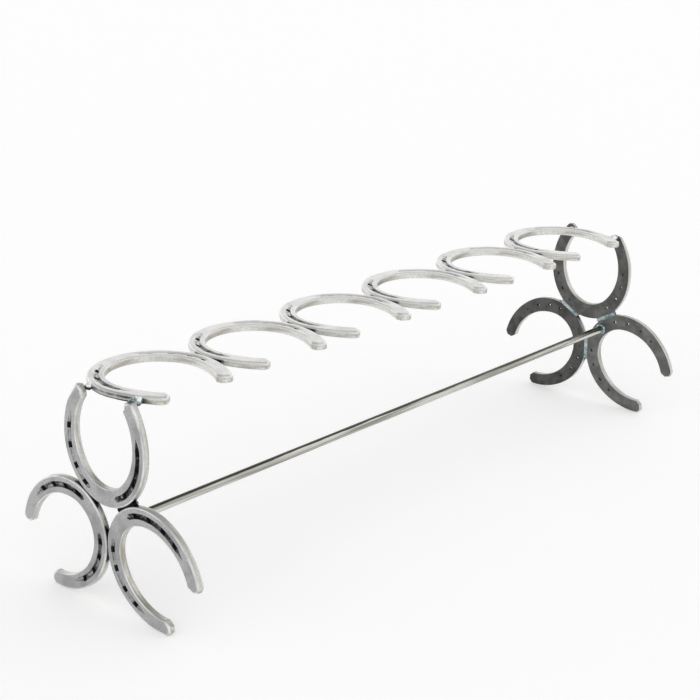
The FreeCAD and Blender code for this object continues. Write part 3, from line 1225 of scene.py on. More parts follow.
@dataclass(frozen=True)
class Horseshoe:
    """A creased and punched horseshoe, forged a little unevenly."""

    form: ShoeForm
    right: Crease = Crease()
    left: Crease = Crease()
    rounding: Rounding = Rounding()
    drawn_back: Span = (0.0, 0.0)
    draw_reach: float = 30.0
    step: float = 1.25
    round_shares: tuple[float, ...] = (0.049, 0.191, 0.412, 0.691, 1.0)
    web_rows: Span = (4.0, 5.2)
    taper_rim: float = 2.6
    lip_round: float = 0.32
    lip_angle: float = 30.0
    wall_levels: tuple[float, ...] = (3.6, 4.5, 5.4, 6.2)
    corner_passes: int = 3
    least_step: float = 0.1
    floor_half: float = 1.0
    rim_slack: float = 0.05
    punch_slack: float = 0.2
    groove_slack: float = 0.3
    foot_slack: float = 0.3
    lip_slack: float = 0.01
    upright: float = 0.65
    level: float = 0.85
    broad_wave: float = 0.09
    broad_length: float = 16.0
    fine_wave: float = 0.03
    fine_length: float = 5.0
    wave_shift: Triple = (37.0, 11.0, 5.0)

    def rows(self) -> list[float]:
        """Return the insets of the rows of vertices across the web at the toe.

        Returns:
            The insets, from the outer edge in.
        """
        crease, web, rounding = self.right, self.form.toe_web, self.rounding
        outer = [share * rounding.outer for share in self.round_shares]
        inner = [web - share * rounding.inner for share in reversed(self.round_shares)]
        return [
            0.0, *outer, *self.web_rows,
            crease.outer_lip, crease.outer_floor, crease.inner_floor, crease.inner_lip,
            (crease.inner_lip + inner[0]) / 2.0,
            *inner, web,
        ]

    def sheet(self, crease: Crease) -> Shape:
        """Return the right half of the ground face as a sheet, spun from the toe to the heel.

        Args:
            crease: The branch's crease.

        Returns:
            The sheet, with how far its edges will be rounded stored on its vertices.
        """
        shape = bmesh.new()
        arcs = self.form.outer
        row = [shape.verts.new(arcs[0].point(0.0, inset)) for inset in self.rows()]
        geometry = row + [shape.edges.new(pair) for pair in zip(row, row[1:])]
        previous = 0.0
        for stop in crease.stops(self.form):
            geometry = bmesh.ops.spin(
                shape, geom=geometry, cent=arc_at(arcs, (previous + stop) / 2.0).centre, axis=SPIN_AXIS, dvec=ORIGIN,
                angle=math.radians(stop - previous), steps=max(1, round((stop - previous) / self.step)),
                use_merge=False, use_duplicate=False,
            )["geom_last"]
            previous = stop
        self.press(shape, crease)
        self.draw_heel(shape, [item for item in geometry if isinstance(item, Edge)])
        self.round_rim(shape)
        return shape

    def press(self, shape: Shape, crease: Crease) -> None:
        """Press the crease and the rims of its nail holes in, and taper the web inside them.

        Args:
            shape: The sheet.
            crease: The branch's crease.
        """
        form = self.form
        for vert in shape.verts:
            spot = form.place(vert.co)
            bearing = min(spot.bearing, form.bearings[-1])
            outer = arc_at(form.outer, bearing)
            inset, depth = crease.pressed(form, bearing, spot.inset)
            moved = outer.point(bearing, inset)
            share = (inset - crease.inner_lip) / (form.toe_web - self.taper_rim - crease.inner_lip)
            if share > 0.0:
                shift = arc_at(form.inner, bearing).point(bearing) - outer.point(bearing, form.toe_web)
                moved += shift * min(1.0, share)
            vert.co = Vector((moved.x, moved.y, -depth))

    def draw_heel(self, shape: Shape, edges: list[Edge]) -> None:
        """Draw the branch's last row out into a heel with two cut corners.

        Args:
            shape: The sheet.
            edges: The edges of its last row.
        """
        form, end = self.form, self.form.heel_reach
        out, run = outward(form.bearings[-1]), along(form.bearings[-1])
        reaches = [end - form.inner_cut, end - form.outer_cut, end]
        for share in self.round_shares:
            reach = end - share * self.rounding.heel
            if all(abs(reach - other) > self.least_step for other in reaches):
                reaches.append(reach)
        for reach in sorted(reaches):
            verts, edges = extruded(shape, edges)
            insets = [(form.heel - v.co).dot(out) for v in verts]
            low, high = min(insets), max(insets)
            outer_cut = max(0.0, reach - end + form.outer_cut)
            inner_cut = max(0.0, reach - end + form.inner_cut)
            for vert, inset in zip(verts, insets):
                share = (inset - low) / (high - low)
                vert.co = form.heel - out * (outer_cut + share * (form.heel_web - inner_cut - outer_cut)) + run * reach

    def round_rim(self, shape: Shape) -> None:
        """Round the ground face's edges off, note the foot face's rounding and soften the heel's corners.

        Args:
            shape: The sheet.
        """
        layer = shape.verts.layers.float.new("foot_drop")
        corners = []
        for vert in shape.verts:
            ground, foot = self.rounding.drops(self.form, vert.co)
            vert.co.z -= ground
            vert[layer] = foot
            if self.form.place(vert.co).past > 0.0:
                corners.append(vert)
        for _ in range(self.corner_passes):
            bmesh.ops.smooth_vert(
                shape, verts=corners, factor=0.5, use_axis_x=True, use_axis_y=True, use_axis_z=False,
            )

    def crease_of(self, point: Vector) -> Crease:
        """Return the crease of the branch that a point is on."""
        return self.right if point.x >= 0.0 else self.left

    def find(self, face: bmesh.types.BMFace) -> tuple[Vector, float, Crease, bool]:
        """Find where a face lies on the shoe.

        Args:
            face: The face.

        Returns:
            The centre, the inset, the crease and whether it is at a nail hole's bearing.
        """
        centre = face.calc_center_median()
        spot, crease = self.form.place(centre), self.crease_of(centre)
        return centre, spot.inset, crease, crease.nail_at(self.form, spot.bearing) is not None

    def open_holes(self, shape: Shape) -> None:
        """Take out the faces of the creases' floors where the nails go through.

        Args:
            shape: The shoe's ground face.
        """
        taken = []
        for face in shape.faces:
            _, inset, crease, at_nail = self.find(face)
            if at_nail and abs(inset - crease.nail_inset) < self.floor_half:
                taken.append(face)
        bmesh.ops.delete(shape, geom=taken, context="FACES")

    def foot_side(self, shape: Shape, verts: list[Vert]) -> None:
        """Flatten the copied sheet into the foot face and draw the holes' exits in.

        Args:
            shape: The closed shoe.
            verts: The copied vertices.
        """
        form = self.form
        layer = shape.verts.layers.float["foot_drop"]
        for vert in verts:
            spot, crease = form.place(vert.co), self.crease_of(vert.co)
            nail = crease.nail_at(form, spot.bearing)
            aside, half = spot.inset - crease.nail_inset, crease.nail_inner - crease.nail_inset
            if nail is not None and abs(aside) < half + self.rim_slack:
                turned = nail + (spot.bearing - nail) * crease.exit_half_length / crease.nail_half_length
                narrowed = aside * crease.exit_half_width / half
                right = arc_at(form.outer, turned).point(turned, crease.nail_inset + narrowed)
                vert.co.x = right.x if vert.co.x >= 0.0 else -right.x
                vert.co.y = right.y
            vert.co.z = vert[layer] - form.thickness

    def solid(self) -> Shape:
        """Return the whole shoe in millimetres, ground face up at the level of zero.

        Returns:
            The shoe.
        """
        shape, other = self.sheet(self.right), self.sheet(self.left)
        bmesh.ops.scale(other, vec=Vector((-1.0, 1.0, 1.0)), verts=other.verts)
        bmesh.ops.reverse_faces(other, faces=other.faces)
        half = to_mesh("half", other)
        shape.from_mesh(half)
        bpy.data.meshes.remove(half)
        bmesh.ops.remove_doubles(shape, verts=shape.verts, dist=MERGE_GAP)
        self.open_holes(shape)
        made = bmesh.ops.extrude_face_region(shape, geom=shape.faces[:], use_keep_orig=True)["geom"]
        self.foot_side(shape, new_verts(made))
        shape.normal_update()
        bmesh.ops.recalc_face_normals(shape, faces=shape.faces)
        self.soften_lips(shape)
        for level in self.wall_levels:
            geometry = shape.verts[:] + shape.edges[:] + shape.faces[:]
            bmesh.ops.bisect_plane(shape, geom=geometry, plane_co=Vector((0.0, 0.0, -level)), plane_no=UP)
        shape.normal_update()
        self.dress_faces(shape)
        self.note_flow(shape)
        self.draw_back(shape)
        return shape

    def draw_back(self, shape: Shape) -> None:
        """Set each heel back along its branch by its own length, or draw it out where that is negative.

        Args:
            shape: The shoe in millimetres.
        """
        form, reach = self.form, self.draw_reach
        for vert in shape.verts:
            rightwards = vert.co.x >= 0.0
            length = self.drawn_back[0] if rightwards else self.drawn_back[1]
            spot = form.place(vert.co)
            share = smooth_step((spot.travelled - form.length + reach) / (reach + form.heel_reach))
            run = along(min(spot.bearing, form.bearings[-1])) * length * share
            vert.co -= Vector((run.x if rightwards else -run.x, run.y, 0.0))

    def soften_lips(self, shape: Shape) -> None:
        """Round the lips of the creases.

        Args:
            shape: The shoe in millimetres.
        """
        crease, lips = self.right, []
        for edge in shape.edges:
            if len(edge.link_faces) != 2 or any(abs(vert.co.z) > self.lip_slack for vert in edge.verts):
                continue
            inset = self.form.place((edge.verts[0].co + edge.verts[1].co) / 2.0).inset
            near = crease.outer_lip - self.punch_slack < inset < crease.inner_lip + self.punch_slack
            if near and edge.calc_face_angle() > math.radians(self.lip_angle):
                lips.append(edge)
        bmesh.ops.bevel(
            shape, geom=lips, offset=self.lip_round, offset_type="OFFSET", segments=2,
            profile=0.5, affect="EDGES", material=-1, clamp_overlap=True,
        )

    def dress_faces(self, shape: Shape) -> None:
        """Give the nail holes' walls their painted shade and the foot face its own finish.

        Args:
            shape: The shoe in millimetres.
        """
        foot_level = self.foot_slack - self.form.thickness
        for face in shape.faces:
            centre, inset, crease, at_nail = self.find(face)
            within = crease.nail_outer - self.punch_slack < inset < crease.nail_inner + self.punch_slack
            if face.normal.z < -self.level and centre.z < foot_level:
                face.material_index = Face.FOOT.value
            elif within and abs(face.normal.z) < self.upright and at_nail:
                face.material_index = Face.PUNCHED.value

    def note_flow(self, shape: Shape) -> None:
        """Store where each vertex lies in the bar, how much of a wall it is and how dark it is painted in the crease,
        partly scale and partly painted shade.

        Args:
            shape: The shoe in millimetres.
        """
        shape.normal_update()
        flow = shape.verts.layers.float_vector.new("flow")
        wall, lines, floor = (shape.verts.layers.float.new(name) for name in ("wall", "crease", "crease_floor"))
        first, last = self.right.outer_lip - self.groove_slack, self.right.inner_lip + self.groove_slack
        for vert in shape.verts:
            spot, crease = self.form.place(vert.co), self.crease_of(vert.co)
            travelled = spot.travelled if vert.co.x >= 0.0 else -spot.travelled
            vert[flow] = Vector((travelled, spot.inset, vert.co.z)) * MM
            dirt = crease.dirt_at(spot.bearing) if first < spot.inset < last else 0.0
            vert[floor] = dirt
            vert[lines] = crease.lines if dirt else 0.0
            vert[wall] = 0.0 if dirt else 1.0 - abs(vert.normal.z)

    def forge(self, shape: Shape, seed: float) -> None:
        """Leave the hammer's and the tumbler's unevenness in a shoe, never outside its outline.

        Args:
            shape: The shoe in millimetres.
            seed: Where in the noise this shoe lies.
        """
        shape.normal_update()
        shift = Vector(seed * part for part in self.wave_shift)
        for vert in shape.verts:
            broad = noise.noise((vert.co + shift) / self.broad_length) - 1.0
            fine = noise.noise((vert.co + shift) / self.fine_length) - 1.0
            vert.co += vert.normal * (self.broad_wave * broad + self.fine_wave * fine)


@functools.cache
def forged_blank(shoe: Horseshoe) -> bpy.types.Mesh:
    """Return a shoe's mesh before its own unevenness, made once for all the shoes of a kind."""
    return to_mesh("blank", shoe.solid())


# --------------------------------------------------------------------------------- heat, smoke and the welds


PLAIN_DEPTH = 8.0
WIPED_DEPTH = 0.8
WIPED_FADE = 1.6
FACE_TINT = 0.3


@dataclass(frozen=True)
class Scorch:
    """How much a weld tints and blackens the steel round it, and how far, with the soot full up to its core."""

    heat_reach: float
    heat: float
    soot_core: float
    soot_reach: float
    soot: float


@dataclass(frozen=True)
class HeatMark:
    """The tint and soot that the weld along a run leaves."""

    run: Run
    scorch: Scorch

    def near(self, box: Box) -> bool:
        """Tell whether the mark can reach into a box.

        Args:
            box: The box, in metres.

        Returns:
            True where it can.
        """
        reach = max(self.scorch.heat_reach, self.scorch.soot_reach)
        low, high = box_round([self.run.start, self.run.end])
        return all(low[axis] - reach < box[1][axis] and high[axis] + reach > box[0][axis] for axis in range(3))

    def at(self, point: Vector) -> Span:
        """Return the tint and the soot at a point.

        Args:
            point: The point, in metres.

        Returns:
            The two shares.
        """
        gap, mark = self.run.gap(point), self.scorch
        dirt = 1.0 - (gap - mark.soot_core) / (mark.soot_reach - mark.soot_core)
        return mark.heat * smooth_step(1.0 - gap / mark.heat_reach), mark.soot * smooth_step(dirt)


@dataclass(frozen=True)
class ScorchedWall:
    """The dark lines that smoke leaves along a shoe's outer wall from one weld to the next.

    Each line has its depth below the ground face, its half width and its strength. The shares are the strength of
    the smoke at the run's start, middle and end.
    """

    run: Run
    lines: tuple[Triple, ...] = ((3.2, 1.9, 0.9), (7.4, 1.9, 1.0))
    shares: Triple = (0.5, 0.8, 1.2)
    ground: float = 0.25
    reach: float = 0.016
    wall_inset: float = 1.2
    uneven: float = 0.4
    uneven_length: float = 0.004
    end_fade: float = 8.0
    line_fade: float = 1.8

    def at(self, point: Vector, depth: float, inset: float) -> float:
        """Return the soot at a point of the wall.

        Args:
            point: The point.
            depth: Its depth below the ground face in millimetres.
            inset: Its inset from the outer wall in millimetres.

        Returns:
            The share of soot.
        """
        share = self.run.share(point)
        if inset > self.wall_inset or not 0.0 < share < 1.0 or self.run.gap(point) > self.reach:
            return 0.0
        half = 0 if share < 0.5 else 1
        strength = blend(self.shares[half], self.shares[half + 1], smooth_step(share * 2.0 - half))
        strength *= smooth_step(share * self.end_fade) * smooth_step((1.0 - share) * self.end_fade)
        strength *= 1.0 + self.uneven * noise.noise(point / self.uneven_length)
        fade = self.line_fade
        lines = max(part * smooth_step(fade - fade * abs(depth - at) / reach) for at, reach, part in self.lines)
        return min(1.0, strength * max(lines, self.ground))


def mark_heat(shape: Shape, marks: list[HeatMark], scorched: list[ScorchedWall]) -> None:
    """Store the heat tint and the soot of the welds on a placed shape.

    Soot clings to walls only, because the faces of a shoe are wiped clean.

    Args:
        shape: The shape, in metres.
        marks: The welds' marks.
        scorched: The walls with lines of smoke.
    """
    heat, soot = (shape.verts.layers.float.new(name) for name in ("heat", "soot"))
    flow = shape.verts.layers.float_vector.get("flow")
    box = box_of(shape)
    close = [mark for mark in marks if mark.near(box)]
    for vert in shape.verts:
        depth = -vert[flow].z / MM if flow else PLAIN_DEPTH
        exposed = smooth_step((depth - WIPED_DEPTH) / WIPED_FADE)
        for mark in close:
            tint, dirt = mark.at(vert.co)
            vert[heat] = max(vert[heat], tint * blend(FACE_TINT, 1.0, exposed))
            vert[soot] = max(vert[soot], dirt * exposed)
        if flow:
            inset = vert[flow].y / MM
            vert[soot] = max([vert[soot], *(wall.at(vert.co, depth, inset) for wall in scorched)])


@dataclass(frozen=True)
class LaidBead:
    """A weld bead laid as a row of overlapping puddles, which may end in a larger last puddle.

    The soot and shade is how far up the bead the black reaches, partly soot and partly painted shade, from 0 at the
    crown's far side to 1 at the crown. The painted highlight is how much of the crown is painted bright, and from what
    share of the bead's length.
    """

    radius: float
    length: float
    # How far up the bead the black reaches: partly soot, partly painted shade.
    smoke: float = 0.5
    polish: Span = (0.2, 0.35)
    pitch: float = 2.1
    ripple: float = 0.32
    sweep: float = 0.9
    ring_step: float = 0.3
    sides: int = 30
    wobble: float = 0.05
    wobble_length: float = 3.0
    start_share: float = 1.0
    ball: float = 0.0
    neck_half: float = 1.5
    least_radius: float = 0.02
    smoke_fade: float = 0.5
    crown_start: float = 0.28
    crown_fade: float = 0.4
    polish_fade: float = 0.25

    def width_share(self, reach: float) -> float:
        """Return the bead's width at a distance from its start, as a share of its radius.

        Args:
            reach: The distance in millimetres.

        Returns:
            The share.
        """
        if not self.ball:
            return 1.0
        past_neck = reach - (self.length - 2.0 * self.ball)
        return blend(self.start_share, 1.0, smooth_step((past_neck + self.neck_half) / (2.0 * self.neck_half)))

    def puddle_radius(self, reach: float) -> float:
        """Return the bead's radius at a distance from its start.

        Args:
            reach: The distance in millimetres.

        Returns:
            The radius in millimetres.
        """
        radius = self.radius * self.width_share(reach)
        from_end = min(reach, self.length - reach)
        cap = math.sqrt(max(0.0, radius ** 2 - max(0.0, radius - from_end) ** 2))
        wave = 0.5 - 0.5 * math.cos(2.0 * math.pi * (reach - self.radius) / self.pitch)
        return max(self.least_radius, cap - self.ripple * wave * min(1.0, from_end / self.radius))

    def solid(self, seed: float) -> Shape:
        """Return the bead in millimetres, from the origin along Z with its crown towards Y.

        Args:
            seed: Where in the noise this bead lies.

        Returns:
            The bead.
        """
        shape = bmesh.new()
        rings = round(self.length / self.ring_step)
        start = self.ring_step / 6.0
        reach, before = start, self.puddle_radius(start)
        edges = capped_ring(shape, self.sides, before, Matrix.Translation((0.0, 0.0, start)))
        for index in range(1, rings + 1):
            to_end = self.length - start
            step = to_end * index / rings - reach + start if index < rings else to_end - reach
            reach += step
            verts, edges = extruded(shape, edges)
            now = self.puddle_radius(reach)
            bmesh.ops.translate(shape, vec=Vector((0.0, 0.0, step)), verts=verts)
            bmesh.ops.scale(shape, vec=Vector((now / before, now / before, 1.0)), verts=verts)
            before = now
        close_end(shape, edges)
        self.sweep_back(shape, seed)
        return shape

    def sweep_back(self, shape: Shape, seed: float) -> None:
        """Sweep the ripples back at the bead's sides and make its width uneven.

        Args:
            shape: The bead.
            seed: Where in the noise it lies.
        """
        for vert in shape.verts:
            lateral = vert.co.x / self.radius
            inside = min(1.0, max(0.0, min(vert.co.z, self.length - vert.co.z)) / self.radius)
            vert.co.z -= self.sweep * lateral * lateral * inside
            uneven = noise.noise(Vector((seed, seed, vert.co.z / self.wobble_length))) - 1.0
            swell = 1.0 + self.wobble * uneven / 2.0
            vert.co.x *= swell
            vert.co.y *= swell

    def smoke_side(self, shape: Shape, run: Run, crown: Vector) -> None:
        """Store the black on the side of the placed bead away from its crown, partly soot and partly painted shade,
        and the painted highlight on the crown.

        Args:
            shape: The bead, in metres.
            run: Its axis.
            crown: The direction that it was laid from.
        """
        # soot: partly soot, partly painted shade; crown: the painted highlight.
        soot, bright = (shape.verts.layers.float.new(name) for name in ("soot", "crown"))
        amount, first = self.polish
        length, direction = run.whole.length, run.whole.normalized()
        for vert in shape.verts:
            offset = vert.co - run.start
            reach = offset.dot(direction)
            height = (offset - direction * reach).dot(crown) / (self.radius * MM)
            vert[soot] = smooth_step(0.5 + (2.0 * self.smoke - 1.0 - height) / self.smoke_fade)
            share = smooth_step((height - self.crown_start) / self.crown_fade)
            share *= smooth_step((reach / length - first) / self.polish_fade)
            vert[bright] = min(1.0, amount * share)

    def lay(self, node: str, run: Run, crown: Vector, weld: bpy.types.Material) -> None:
        """Lay the bead along a run.

        Args:
            node: The node that it stands for.
            run: Its axis.
            crown: The direction that it is laid from.
            weld: The weld metal.
        """
        name = node.replace("weld", "bead")
        shape = self.solid(sum(ord(letter) for letter in name) * NAME_SEED)
        z_axis = run.whole.normalized()
        y_axis = (crown - z_axis * crown.dot(z_axis)).normalized()
        turn = Matrix((y_axis.cross(z_axis), y_axis, z_axis)).transposed().to_4x4()
        place = Matrix.Translation(run.start) @ turn @ Matrix.Scale(MM, 4)
        bmesh.ops.transform(shape, matrix=place, verts=shape.verts)
        self.smoke_side(shape, run, crown)
        put(shape, name, node, [weld])


@dataclass(frozen=True)
class RodFillet:
    """The fillet weld round the rod's end."""

    rod_radius: float
    leg: float
    ripples: int = 15
    ripple: float = 0.09
    ripple_twist: float = 0.4
    steps: int = 90
    arc_points: int = 9
    bedded: float = 0.4
    slack: float = 0.05

    def solid(self) -> Shape:
        """Return the fillet in millimetres, seated at the origin and drawn round the X axis.

        Returns:
            The fillet.
        """
        shape = bmesh.new()
        turns = [math.pi / 2.0 * index / (self.arc_points - 1) for index in range(self.arc_points)]
        rod, leg = self.rod_radius, self.leg
        points = [Vector((leg * math.sin(t), 0.0, rod + leg * math.cos(t))) for t in turns]
        points = [Vector((0.0, 0.0, rod - self.bedded)), *points, Vector((leg, 0.0, rod - self.bedded))]
        ring = [shape.verts.new(point) for point in points]
        edges = [shape.edges.new(pair) for pair in zip(ring, ring[1:] + ring[:1])]
        bmesh.ops.spin(
            shape, geom=ring + edges, cent=ORIGIN, axis=ACROSS, dvec=ORIGIN,
            angle=2.0 * math.pi, steps=self.steps, use_merge=True,
        )
        bmesh.ops.remove_doubles(shape, verts=shape.verts, dist=MERGE_GAP)
        bmesh.ops.recalc_face_normals(shape, faces=shape.faces)
        for vert in shape.verts:
            self.roll(vert)
        return shape

    def roll(self, vert: Vert) -> None:
        """Draw a point of the fillet in where a ripple's hollow is.

        Args:
            vert: The point.
        """
        away = Vector((0.0, vert.co.y, vert.co.z))
        rise = away.length - self.rod_radius
        if rise / self.leg > self.slack or vert.co.x > self.slack:
            angle = math.atan2(vert.co.y, vert.co.z)
            wave = abs(math.sin(angle * self.ripples / 2.0 + vert.co.x * self.ripple_twist))
            shrink = 1.0 - self.ripple * (1.0 - wave)
            vert.co.x *= shrink
            lifted = self.rod_radius + rise * shrink
            vert.co.y, vert.co.z = away.y / away.length * lifted, away.z / away.length * lifted


# ------------------------------------------------------------------------------------------------ the rack


CRADLE_CREASE = Crease(nail_outer=7.7, nail_inner=11.9, depth=3.4)
STAND_FORM = ShoeForm((57.8, 71.2, 87.0), (49.0, 86.3, 128.2), 20.3, 16.6, outer_cut=4.5, inner_cut=5.5)
# Each crease's dirt and lines set how dark it is painted, partly scale and partly painted shade.
STAND_SHOES = {
    Place.TOP: Horseshoe(
        STAND_FORM,
        right=Crease(nails=(33.5, 54.7, 74.5, 92.4), dirt=(0.5, 0.3)),
        left=Crease(nails=(42.0, 62.5, 80.5, 95.0), dirt=(1.1, 0.9)),
        rounding=Rounding(heel=4.5, worn_width=12.0, worn_depth=4.5, worn_reach=28.0),
    ),
    Place.REAR: Horseshoe(
        STAND_FORM,
        right=Crease(nails=(35.1, 55.3, 74.0, 91.8), depth=2.8, dirt=(0.1, 0.2), lines=0.5),
        left=Crease(nails=(37.9, 57.6, 75.3, 92.3), depth=3.4, dirt=(1.1, 0.5), lines=0.85),
        rounding=Rounding(heel=3.8),
    ),
    Place.FRONT: Horseshoe(
        STAND_FORM,
        right=Crease(nails=(37.4, 59.1, 79.1, 95.0), depth=3.4, dirt=(2.4, 0.1), lines=0.7),
        left=Crease(nails=(37.0, 58.0, 78.7, 94.2), dirt=(0.3, 0.3)),
        rounding=Rounding(heel=3.8),
    ),
}
DRAWN_BACK = {(Side.LEFT, Place.TOP): (5.5, -1.5)}
SEAM_SCORCH = Scorch(heat_reach=0.055, heat=0.72, soot_core=0.0042, soot_reach=0.0072, soot=1.0)
ROW_SCORCH = Scorch(heat_reach=0.020, heat=0.5, soot_core=0.0045, soot_reach=0.0080, soot=0.97)
ROD_SCORCH = Scorch(heat_reach=0.024, heat=0.85, soot_core=0.004, soot_reach=0.007, soot=0.6)


@dataclass(frozen=True)
class HeelBead:
    """How one of the two beads from a stand's heel tips to the row was laid."""

    place: str
    radius: float
    smoke: float
    polish: Span
    scorch: Scorch
    start_share: float = 1.0
    ball: float = 0.0
    pitch: float = 3.4

    def bead(self, run: Run) -> LaidBead:
        """Return the bead for a run.

        Args:
            run: The bead's axis.

        Returns:
            The bead.
        """
        return LaidBead(
            self.radius, run.whole.length / MM, smoke=self.smoke, polish=self.polish,
            pitch=self.pitch, start_share=self.start_share, ball=self.ball,
        )


# The rear bead is painted bright on top and black below, and the front one's ball gets a bright crown: painted
# highlight and painted shade.
HEEL_BEADS = (
    HeelBead("rear", 4.2, 0.60, (3.0, -1.0), Scorch(0.016, 0.35, 0.0046, 0.0064, 0.3)),
    HeelBead("front", 5.2, 0.41, (1.0, 0.35), Scorch(0.032, 0.74, 0.0046, 0.0064, 0.8), start_share=0.86, ball=4.6),
)


@dataclass(frozen=True)
class ShoePlace:
    """Where one horseshoe goes, with its finishes and the smoke on its wall.

    The seed is where in the noise the shoe lies. The turn takes it from flat to its place and may mirror it. The
    materials are the worn finish, the nail holes' painted shade and the foot finish.
    """

    node: str
    turn: Matrix
    seed: float
    materials: list[bpy.types.Material]
    scorched: list[ScorchedWall]

    def fill(self, shoe: Horseshoe, marks: list[HeatMark]) -> None:
        """Make the horseshoe and set it where its node is.

        Args:
            shoe: The kind of shoe.
            marks: The marks of the welds.
        """
        shape = bmesh.new()
        shape.from_mesh(forged_blank(shoe))
        shoe.forge(shape, self.seed)
        seat(shape, self.turn, self.node, shoe.form.plain_box(self.turn))
        mark_heat(shape, marks, self.scorched)
        put(shape, self.node.replace("shoe", "horseshoe"), self.node, self.materials)


@dataclass
class CradleRow:
    """The row of large shoes that take the boots, and the beads under it."""

    finishes: Finishes
    count: int = 6
    shoe: Horseshoe = Horseshoe(
        ShoeForm((69.2, 71.8, 123.2), (52.5, 98.8, 124.2), 18.4, 17.9, outer_cut=4.2, inner_cut=5.4),
        right=replace(CRADLE_CREASE, dirt=(0.15, 0.15), lines=0.35),
        left=replace(CRADLE_CREASE, dirt=(0.15, 0.6), lines=0.5),
        rounding=Rounding(heel=3.2),
    )
    bead_radius: float = 3.7

    def beads(self) -> list[tuple[str, Run]]:
        """Return each bead's node and axis.

        Returns:
            The nodes, each with its bead's axis.
        """
        made = []
        for index in range(1, self.count):
            node = f"cradle_weld_{index}_{index + 1}"
            low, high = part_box(node)
            across, height = middle((low, high)).x, low.z + self.bead_radius * MM
            made.append((node, Run(Vector((across, low.y, height)), Vector((across, high.y, height)))))
        return made

    def marks(self) -> list[HeatMark]:
        """Return the beads' marks on the shoes, which reach up through the gap."""
        lift = self.shoe.form.thickness * MM / 2.0 * UP
        return [HeatMark(run.moved(lift), ROW_SCORCH) for _, run in self.beads()]

    def build(self, marks: list[HeatMark], scorched: list[ScorchedWall]) -> None:
        """Make the row.

        Args:
            marks: The marks of all the welds.
            scorched: The walls with lines of smoke.
        """
        materials = [self.finishes.row_steel, self.finishes.punched, self.finishes.foot]
        for index in range(1, self.count + 1):
            place = ShoePlace(f"cradle_shoe_{index}", Matrix.Identity(4), float(index), materials, scorched)
            place.fill(self.shoe, marks)
        for node, run in self.beads():
            LaidBead(self.bead_radius, run.whole.length / MM).lay(node, run, -UP, self.finishes.weld)


